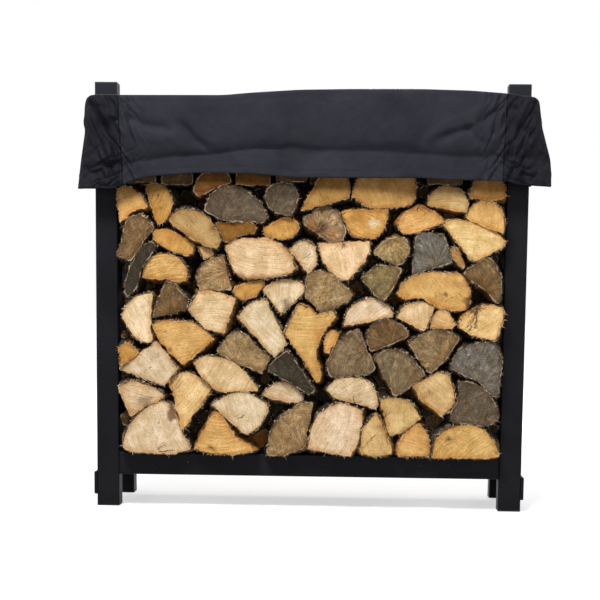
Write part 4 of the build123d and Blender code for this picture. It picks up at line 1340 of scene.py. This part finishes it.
def front_out(x, z, hem, seed):
    """How far the front stands out of its plane: the crease, the folds and soft waves."""
    crease = soft_line(x, COVER_CREASE, 0.012)
    top = soft_line(x, COVER_TOP)
    above = np.clip((z - crease) / (top - crease), 0, 1)
    below = np.clip((crease - z) / np.maximum(crease - hem, 0.01), 0, 1)
    full = -0.0082 + 0.0165 * (1 - np.exp(-above / 0.085)) - 0.0065 * smooth_step(above, 0.3, 1.0)
    band = -0.0065 + 0.0040 * below ** 0.4 + 0.0120 * below
    out = np.where(z > crease, full, band)
    out = add_folds(out, x, z, COVER_FOLDS)
    place = np.stack([x, z, np.zeros_like(x)], axis=-1).reshape(-1, 3)
    waves = soft_noise(place * (7, 9, 1), seed) * 0.0028 + soft_noise(place * (22, 16, 1), seed + 1) * 0.0016
    crumple = soft_noise(place * (55, 45, 1), seed + 2) * 0.0008
    loose = 1 - smooth_step(z, hem, hem + 0.05).reshape(-1)
    flutter = soft_noise(place * (11, 2, 1), seed + 3) * 0.0035 * loose
    near_end = smooth_step(np.abs(x), 0.53, 0.57).reshape(-1)
    rumpled = (0.6 - 2 * np.abs(soft_noise(place * (24, 15, 1), seed + 5))) * 0.0060 * near_end
    out = out + (waves + crumple + flutter + rumpled).reshape(np.shape(x))
    for seam in (LEFT_SEAM, RIGHT_SEAM):
        away = np.abs(x - soft_line(z, seam, 0.01))
        out = out - 0.0030 * np.exp(-(away / 0.0040) ** 2) + 0.0012 * np.exp(-((away - 0.008) / 0.005) ** 2)
    out = np.maximum(out, -0.0082) + 0.0008 * smooth_step(z - hem, 0.0245, 0.0215)
    return np.minimum(out, 0.0098)


def end_out(y, z, hem, seed):
    """How far a cover end stands out: long soft folds from the posts and the hem's band."""
    place = np.stack([y, z, np.zeros_like(y)], axis=-1).reshape(-1, 3)
    waves = soft_noise(place * (10, 6, 1), seed) * 0.0035 + soft_noise(place * (26, 14, 1), seed + 1) * 0.0018
    rumpled = (0.6 - 2 * np.abs(soft_noise(place * (17, 12, 1), seed + 4))) * 0.0060
    crease = 0.985 + 0.01 * np.sin(9 * y + seed)
    out = (waves + rumpled).reshape(np.shape(y)) - 0.0050 * np.exp(-((z - crease) / 0.012) ** 2)
    out = add_folds(out, y, z, END_FOLDS)
    return np.clip(out, -0.009, 0.009) + 0.0008 * smooth_step(z - hem, 0.0245, 0.0215)


def grid_lines(reach, slots, step):
    """Places across the top that meet both edges of every post slot, about a step apart."""
    stops = sorted({-reach, reach, *[edge for slot in slots for edge in slot]})
    lines = [stops[0]]
    for start, end in zip(stops, stops[1:]):
        count = max(1, round((end - start) / step))
        lines += [start + (end - start) * part / count for part in range(1, count + 1)]
    return np.array(lines)


def cover_levels():
    """Steps down the cover's side: the rounded shoulder, then even steps to the hem."""
    shoulder = [(0.0, share) for share in (0.25, 0.5, 0.75, 1.0)]
    drop = [(share, 1.0) for share in np.linspace(0, 1, COVER_DROPS + 1)[1:]]
    return shoulder + drop


def hem_height(side, x, y):
    """Height of the hem, which hangs a little higher towards the rear corners."""
    lift = 0.034 * smooth_step(y, -COVER_DEPTH, COVER_DEPTH * 0.8)
    if side in ("front", "rear"):
        level = soft_line(x, COVER_HEM, 0.015)
        return level + np.where(y > 0, 0.034 * smooth_step(np.abs(x), 0.40, 0.54), 0.0)
    return (0.8985 if side == "left" else 0.9150) + lift


def cover_side_point(side, x, y, drop, bend):
    """A place on the cover's side, below a place on the top's edge."""
    hem = hem_height(side, x, y)
    edge = top_height(x, y)
    fall = SHOULDER + 0.008 * smooth_step(np.abs(x), 0.600, 0.620)
    z = edge - fall * (1 - math.cos(bend * math.pi / 2))
    z = z + drop * (hem - (edge - fall))
    turn = SHOULDER * math.sin(bend * math.pi / 2) - SHOULDER
    reach_left = soft_line(z, LEFT_REACH, 0.008) + turn
    reach_right = soft_line(z, RIGHT_REACH, 0.008) + turn
    depth = COVER_DEPTH + turn
    reach = np.where(x < 0, reach_left, reach_right)
    far_x = np.abs(x) / (COVER_REACH - SHOULDER) * reach
    far_y = np.abs(y) / (COVER_DEPTH - SHOULDER) * depth
    radius = 0.014 * min(1.0, bend + 0.05)
    if side in ("front", "rear"):
        near = np.clip((reach - far_x) / radius, 0, 1)
        angle = (1 - near) * math.pi / 4
        corner = far_x > reach - radius
        out_x = np.where(corner, reach - radius + radius * np.sin(angle), far_x)
        out_y = np.where(corner, depth - radius + radius * np.cos(angle), depth)
        sign = -1 if side == "front" else 1
        seen_x = np.sign(x) * out_x * (1 if side == "front" else -1)
        swell = front_out(seen_x, z, hem, 31 if side == "front" else 77) * min(1.0, drop * 12)
        out_y = out_y + swell * np.where(corner, 0.5, 1.0)
        return np.stack([np.sign(x) * out_x, sign * out_y, z], axis=-1)
    near = np.clip((depth - far_y) / radius, 0, 1)
    angle = (1 - near) * math.pi / 4
    corner = far_y > depth - radius
    out_y = np.where(corner, depth - radius + radius * np.sin(angle), far_y)
    out_x = np.where(corner, reach - radius + radius * np.cos(angle), reach)
    swell = end_out(y, z, hem, 51 if side == "left" else 61) * min(1.0, drop * 12)
    out_x = out_x + swell * np.where(corner, 0.0, smooth_step(depth - radius - far_y, 0.0, 0.03))
    return np.stack([np.sign(x) * out_x, np.sign(y) * out_y, z], axis=-1)


def post_slots():
    """Where the post tops come through the cover: X and Y spans on the right and rear sides."""
    low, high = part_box("rear_right_post")
    outer = high.x - (POST_TOP - SLOT_HEIGHT) * POST_LEAN + POST_SLOT_ROOM
    inner = outer - POST_SIDE - 2 * POST_SLOT_ROOM
    return (inner, outer), (low.y - POST_SLOT_ROOM, high.y + POST_SLOT_ROOM)


def cover_mesh():
    """The cover as one sheet: vertices, faces, each face corner's place on the flat cloth, and its rings."""
    slot_x, slot_y = post_slots()
    reach_x = COVER_REACH - SHOULDER
    reach_y = COVER_DEPTH - SHOULDER
    lines_x = grid_lines(reach_x, [slot_x, (-slot_x[1], -slot_x[0])], COVER_STEP)
    lines_y = grid_lines(reach_y, [slot_y, (-slot_y[1], -slot_y[0])], COVER_STEP)
    across, back = np.meshgrid(lines_x, lines_y, indexing="ij")
    top = np.stack([across, back, top_height(across, back)], axis=-1)
    rows, columns = top.shape[:2]
    vertices = [top.reshape(-1, 3)]
    past_seam = [np.abs(across).ravel() - TOP_SEAM]
    above_hem = [np.full(rows * columns, 0.25)]
    faces, places = [], []
    for row in range(rows - 1):
        for column in range(columns - 1):
            middle_x = abs(lines_x[row] + lines_x[row + 1]) / 2
            middle_y = abs(lines_y[column] + lines_y[column + 1]) / 2
            if slot_x[0] < middle_x < slot_x[1] and slot_y[0] < middle_y < slot_y[1]:
                continue
            face = [(row, column), (row + 1, column), (row + 1, column + 1), (row, column + 1)]
            faces.append(tuple(a * columns + b for a, b in face))
            places.append([(lines_x[a], lines_y[b]) for a, b in face])
    edge = [(row, 0) for row in range(rows)] + [(rows - 1, column) for column in range(1, columns)]
    edge += [(row, columns - 1) for row in range(rows - 2, -1, -1)]
    edge += [(0, column) for column in range(columns - 2, 0, -1)]
    edge = np.array(edge)
    edge_x = lines_x[edge[:, 0]]
    edge_y = lines_y[edge[:, 1]]
    sides = np.select([edge[:, 1] == 0, edge[:, 0] == rows - 1, edge[:, 1] == columns - 1], [0, 1, 2], 3)
    sides[0] = 0
    names = ("front", "right", "rear", "left")
    levels = cover_levels()
    count = len(edge)
    first = len(vertices[0])
    rings = []
    for drop, bend in levels:
        ring = np.zeros((count, 3))
        hem = np.zeros(count)
        beyond = np.full(count, 0.1)
        for index, name in enumerate(names):
            chosen = sides == index
            ring[chosen] = cover_side_point(name, edge_x[chosen], edge_y[chosen], drop, bend)
            hem[chosen] = hem_height(name, edge_x[chosen], edge_y[chosen])
            if name in ("front", "rear"):
                seen_x = ring[chosen, 0] * (1 if name == "front" else -1)
                height = ring[chosen, 2]
                left, right = -soft_line(height, LEFT_SEAM, 0.01), soft_line(height, RIGHT_SEAM, 0.01)
                seam = np.where(seen_x < 0, left, right)
                beyond[chosen] = np.abs(seen_x) - seam
        vertices.append(ring)
        rings.append(ring)
        past_seam.append(beyond)
        above_hem.append(ring[:, 2] - hem)
    above = edge[:, 0] * columns + edge[:, 1]
    fall = 0.0
    for level in range(len(levels)):
        below = first + level * count + np.arange(count)
        next_fall = fall + (SHOULDER * math.pi / 8 if level < 4 else COVER_FALL / COVER_DROPS)
        for point in range(count):
            beside = (point + 1) % count
            faces.append((above[point], below[point], below[beside], above[beside]))
            pair = (edge_x[point], edge_y[point]), (edge_x[beside], edge_y[beside])
            flat = []
            hung = ((pair[0], fall), (pair[0], next_fall), (pair[1], next_fall), (pair[1], fall))
            for (spot_x, spot_y), down in hung:
                if abs(pair[0][0] - pair[1][0]) < 1e-9:
                    flat.append((spot_x + math.copysign(down, spot_x), spot_y))
                else:
                    flat.append((spot_x, spot_y + math.copysign(down, spot_y)))
            places.append(flat)
        above = below
        fall = next_fall
    return {"vertices": np.concatenate(vertices), "faces": faces, "places": places, "rings": np.array(rings),
            "sides": sides, "past_seam": np.concatenate(past_seam),
            "above_hem": np.concatenate(above_hem)}


def seam_lines(cover):
    """The stitch lines beside the seams: down the front and the rear, and across the top."""
    lines = []
    for side, mirror in ((0, 1), (2, -1)):
        chosen = cover["sides"] == side
        for seam in (LEFT_SEAM, RIGHT_SEAM):
            for aside in (-STITCH_ASIDE, STITCH_ASIDE):
                line = []
                for ring in cover["rings"][3:]:
                    places = ring[chosen]
                    places = places[np.argsort(places[:, 0])]
                    x = mirror * float(soft_line(np.array(places[:, 2].mean()), seam, 0.01))
                    z = float(np.interp(x, places[:, 0], places[:, 2]))
                    x = mirror * float(soft_line(np.array(z), seam, 0.01)) + aside
                    line.append((x, *[np.interp(x, places[:, 0], places[:, axis]) for axis in (1, 2)]))
                lines.append(line)
    depth = np.linspace(-COVER_DEPTH + SHOULDER, COVER_DEPTH - SHOULDER, 60)
    slot_x, slot_y = post_slots()
    clear = np.abs(np.abs(depth) - (slot_y[0] + slot_y[1]) / 2) > POST_SIDE / 2 + 0.006
    for seam in (-TOP_SEAM, TOP_SEAM):
        for aside in (-STITCH_ASIDE, STITCH_ASIDE):
            across = np.full_like(depth, seam + aside)
            line = np.stack([across, depth, top_height(across, depth)], axis=1)
            over_slot = slot_x[0] - 0.004 < abs(seam + aside)
            for run in np.split(np.arange(len(depth)), np.flatnonzero(np.diff(clear.astype(int))) + 1):
                if clear[run[0]] or not over_slot:
                    lines.append(line[run])
    return [line for line in lines if len(line) > 2]


def hem_stitch_line(cover):
    """The line of stitches that holds the hem, all the way round."""
    rings = cover["rings"][3:]
    height = cover["rings"][-1][:, 2] + HEM_STITCH
    line = []
    for point in range(rings.shape[1]):
        column = rings[::-1, point]
        line.append([np.interp(height[point], column[:, 2], column[:, axis]) for axis in range(3)])
    return line


def slot_edges(outset, rise):
    """The four slots that the posts come through, as closed lines on the cover's top."""
    slot_x, slot_y = post_slots()
    lines = []
    for side_x in (-1, 1):
        for side_y in (-1, 1):
            corners = [(slot_x[0] - outset, slot_y[0] - outset), (slot_x[1] + outset, slot_y[0] - outset),
                       (slot_x[1] + outset, slot_y[1] + outset), (slot_x[0] - outset, slot_y[1] + outset)]
            line = []
            for start, end in zip(corners, corners[1:] + corners[:1]):
                for share in np.linspace(0, 1, 12, endpoint=False):
                    line.append([side_x * (start[0] + share * (end[0] - start[0])),
                                 side_y * (start[1] + share * (end[1] - start[1]))])
            line = np.array(line)
            line = np.column_stack([line, top_height(line[:, 0], line[:, 1]) + rise])
            lines.append(line)
    return lines


def sew_cover(cover):
    """Stitches along the seams, the hem and the post slots, and the slots' round binding."""
    thread = {"Pitch": 0.0042, "Stitch": 0.0031, "Thread": 0.0004, "Finish": THREAD}
    grow("seam_stitches", line_mesh("seam_lines", seam_lines(cover)), STITCHES, thread)
    closed = [hem_stitch_line(cover), *slot_edges(0.0065, 0.0001)]
    grow("hem_stitches", line_mesh("hem_lines", closed, closed=True), STITCHES, thread)
    grow("post_slot_binding", line_mesh("slot_lines", slot_edges(0.0012, 0.0004), closed=True), PIPING,
         {"Radius": 0.0019, "Step": 0.004, "Finish": THREAD})


def drape_cover():
    """The cover as one continuous cloth with its folds, in place of the five plain panels."""
    made = cover_mesh()
    cover = new_piece("draped_cover", made["vertices"], made["faces"], [CLOTH_FINISH])
    mesh = cover.data
    flat = np.array([spot for face in made["places"] for spot in face], np.float32)
    mesh.uv_layers.new(name="flat_cloth").data.foreach_set("uv", flat.ravel())
    mesh.polygons.foreach_set("use_smooth", [True] * len(made["faces"]))
    for label in ("past_seam", "above_hem"):
        note(mesh, label, made[label])
    thickness = cover.modifiers.new("cloth thickness", "SOLIDIFY")
    thickness.thickness = CLOTH
    thickness.offset = -1
    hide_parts("cover_top_panel", "cover_front_panel", "cover_rear_panel", "cover_left_end",
                "cover_right_end")
    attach(cover, "root")
    sew_cover(made)


# Floor, light and camera.

RACK_MIDDLE = Vector((0, 0, 0.6))


def make_floor():
    """A pale floor that stays white far off and keeps the rack's own shadow."""
    mesh = bpy.data.meshes.new("floor")
    mesh.from_pydata([(-30, -30, 0), (30, -30, 0), (30, 30, 0), (-30, 30, 0)], [], [(0, 1, 2, 3)])
    floor = bpy.data.objects.new("floor", mesh)
    SCENE.collection.objects.link(floor)
    nodes = Surface("pale_floor", 0.2)
    rays = nodes.outputs("ShaderNodeLightPath")
    seen = nodes.math("MAXIMUM", rays["Is Camera Ray"], rays["Is Glossy Ray"])
    glow = seen * nodes.ramp(nodes.length(nodes.object_place()), 0.7, 2.4, 0.60, 1.0)
    for label, value in (("Base Color", (0.55, 0.55, 0.55, 1)), ("Roughness", 0.9),
                         ("Emission Color", (1, 1, 1, 1)), ("Emission Strength", glow)):
        nodes.put(value, nodes.shader.inputs[label])
    mesh.materials.append(nodes.made)


def make_world():
    """Even white light, and a white background where the camera or a gloss sees it."""
    world = bpy.data.worlds.new("studio")
    SCENE.world = world
    world.use_nodes = True
    nodes = Nodes(world.node_tree)
    background = world.node_tree.nodes["Background"]
    rays = nodes.outputs("ShaderNodeLightPath")
    through = nodes.math("MAXIMUM", rays["Is Glossy Ray"], rays["Is Transmission Ray"])
    seen = nodes.math("MAXIMUM", rays["Is Camera Ray"], through)
    background.inputs["Color"].default_value = (1, 1, 1, 1)
    nodes.put(0.13 + seen * 0.87, background.inputs["Strength"])


def soft_lamp(name, place, width, height, watts):
    """A rectangular lamp aimed at the middle of the rack."""
    lamp = bpy.data.lights.new(name, "AREA")
    lamp.shape = "RECTANGLE"
    lamp.size = width
    lamp.size_y = height
    lamp.energy = watts
    made = bpy.data.objects.new(name, lamp)
    made.location = place
    made.rotation_euler = (RACK_MIDDLE - Vector(place)).to_track_quat("-Z", "Y").to_euler()
    SCENE.collection.objects.link(made)


def make_camera():
    """The photograph's view: a little to the right, level, and rolled by about half a degree."""
    data = bpy.data.cameras.new("camera")
    data.lens = 94.0
    data.sensor_width = 36.0
    data.clip_end = 100.0
    camera = bpy.data.objects.new("camera", data)
    place = Vector((0.137, -4.616, 0.611))
    aim = Vector((-0.028, -0.178, 0.591))
    turned = (aim - place).to_track_quat("-Z", "Y").to_matrix().to_4x4()
    camera.matrix_world = Matrix.Translation(place) @ turned @ Matrix.Rotation(math.radians(0.61), 4, "Z")
    SCENE.collection.objects.link(camera)
    SCENE.camera = camera


finish_steel()
stack_firewood()
tear_out_fibres()
scatter_chips()
lay_weld_beads()
drape_cover()
make_floor()
make_world()
soft_lamp("front_softbox", (-0.9, -3.0, 4.5), 1.6, 1.2, 312)
soft_lamp("front_fill", (1.6, -4.2, 1.6), 1.6, 1.6, 14)
soft_lamp("back_fill", (0.5, 3.8, 3.4), 2.0, 1.6, 120)
soft_lamp("right_fill", (3.8, 0.6, 1.9), 1.4, 1.4, 34)
soft_lamp("left_fill", (-3.8, 0.6, 1.9), 1.4, 1.4, 26)
make_camera()
SCENE.view_settings.view_transform = "Standard"
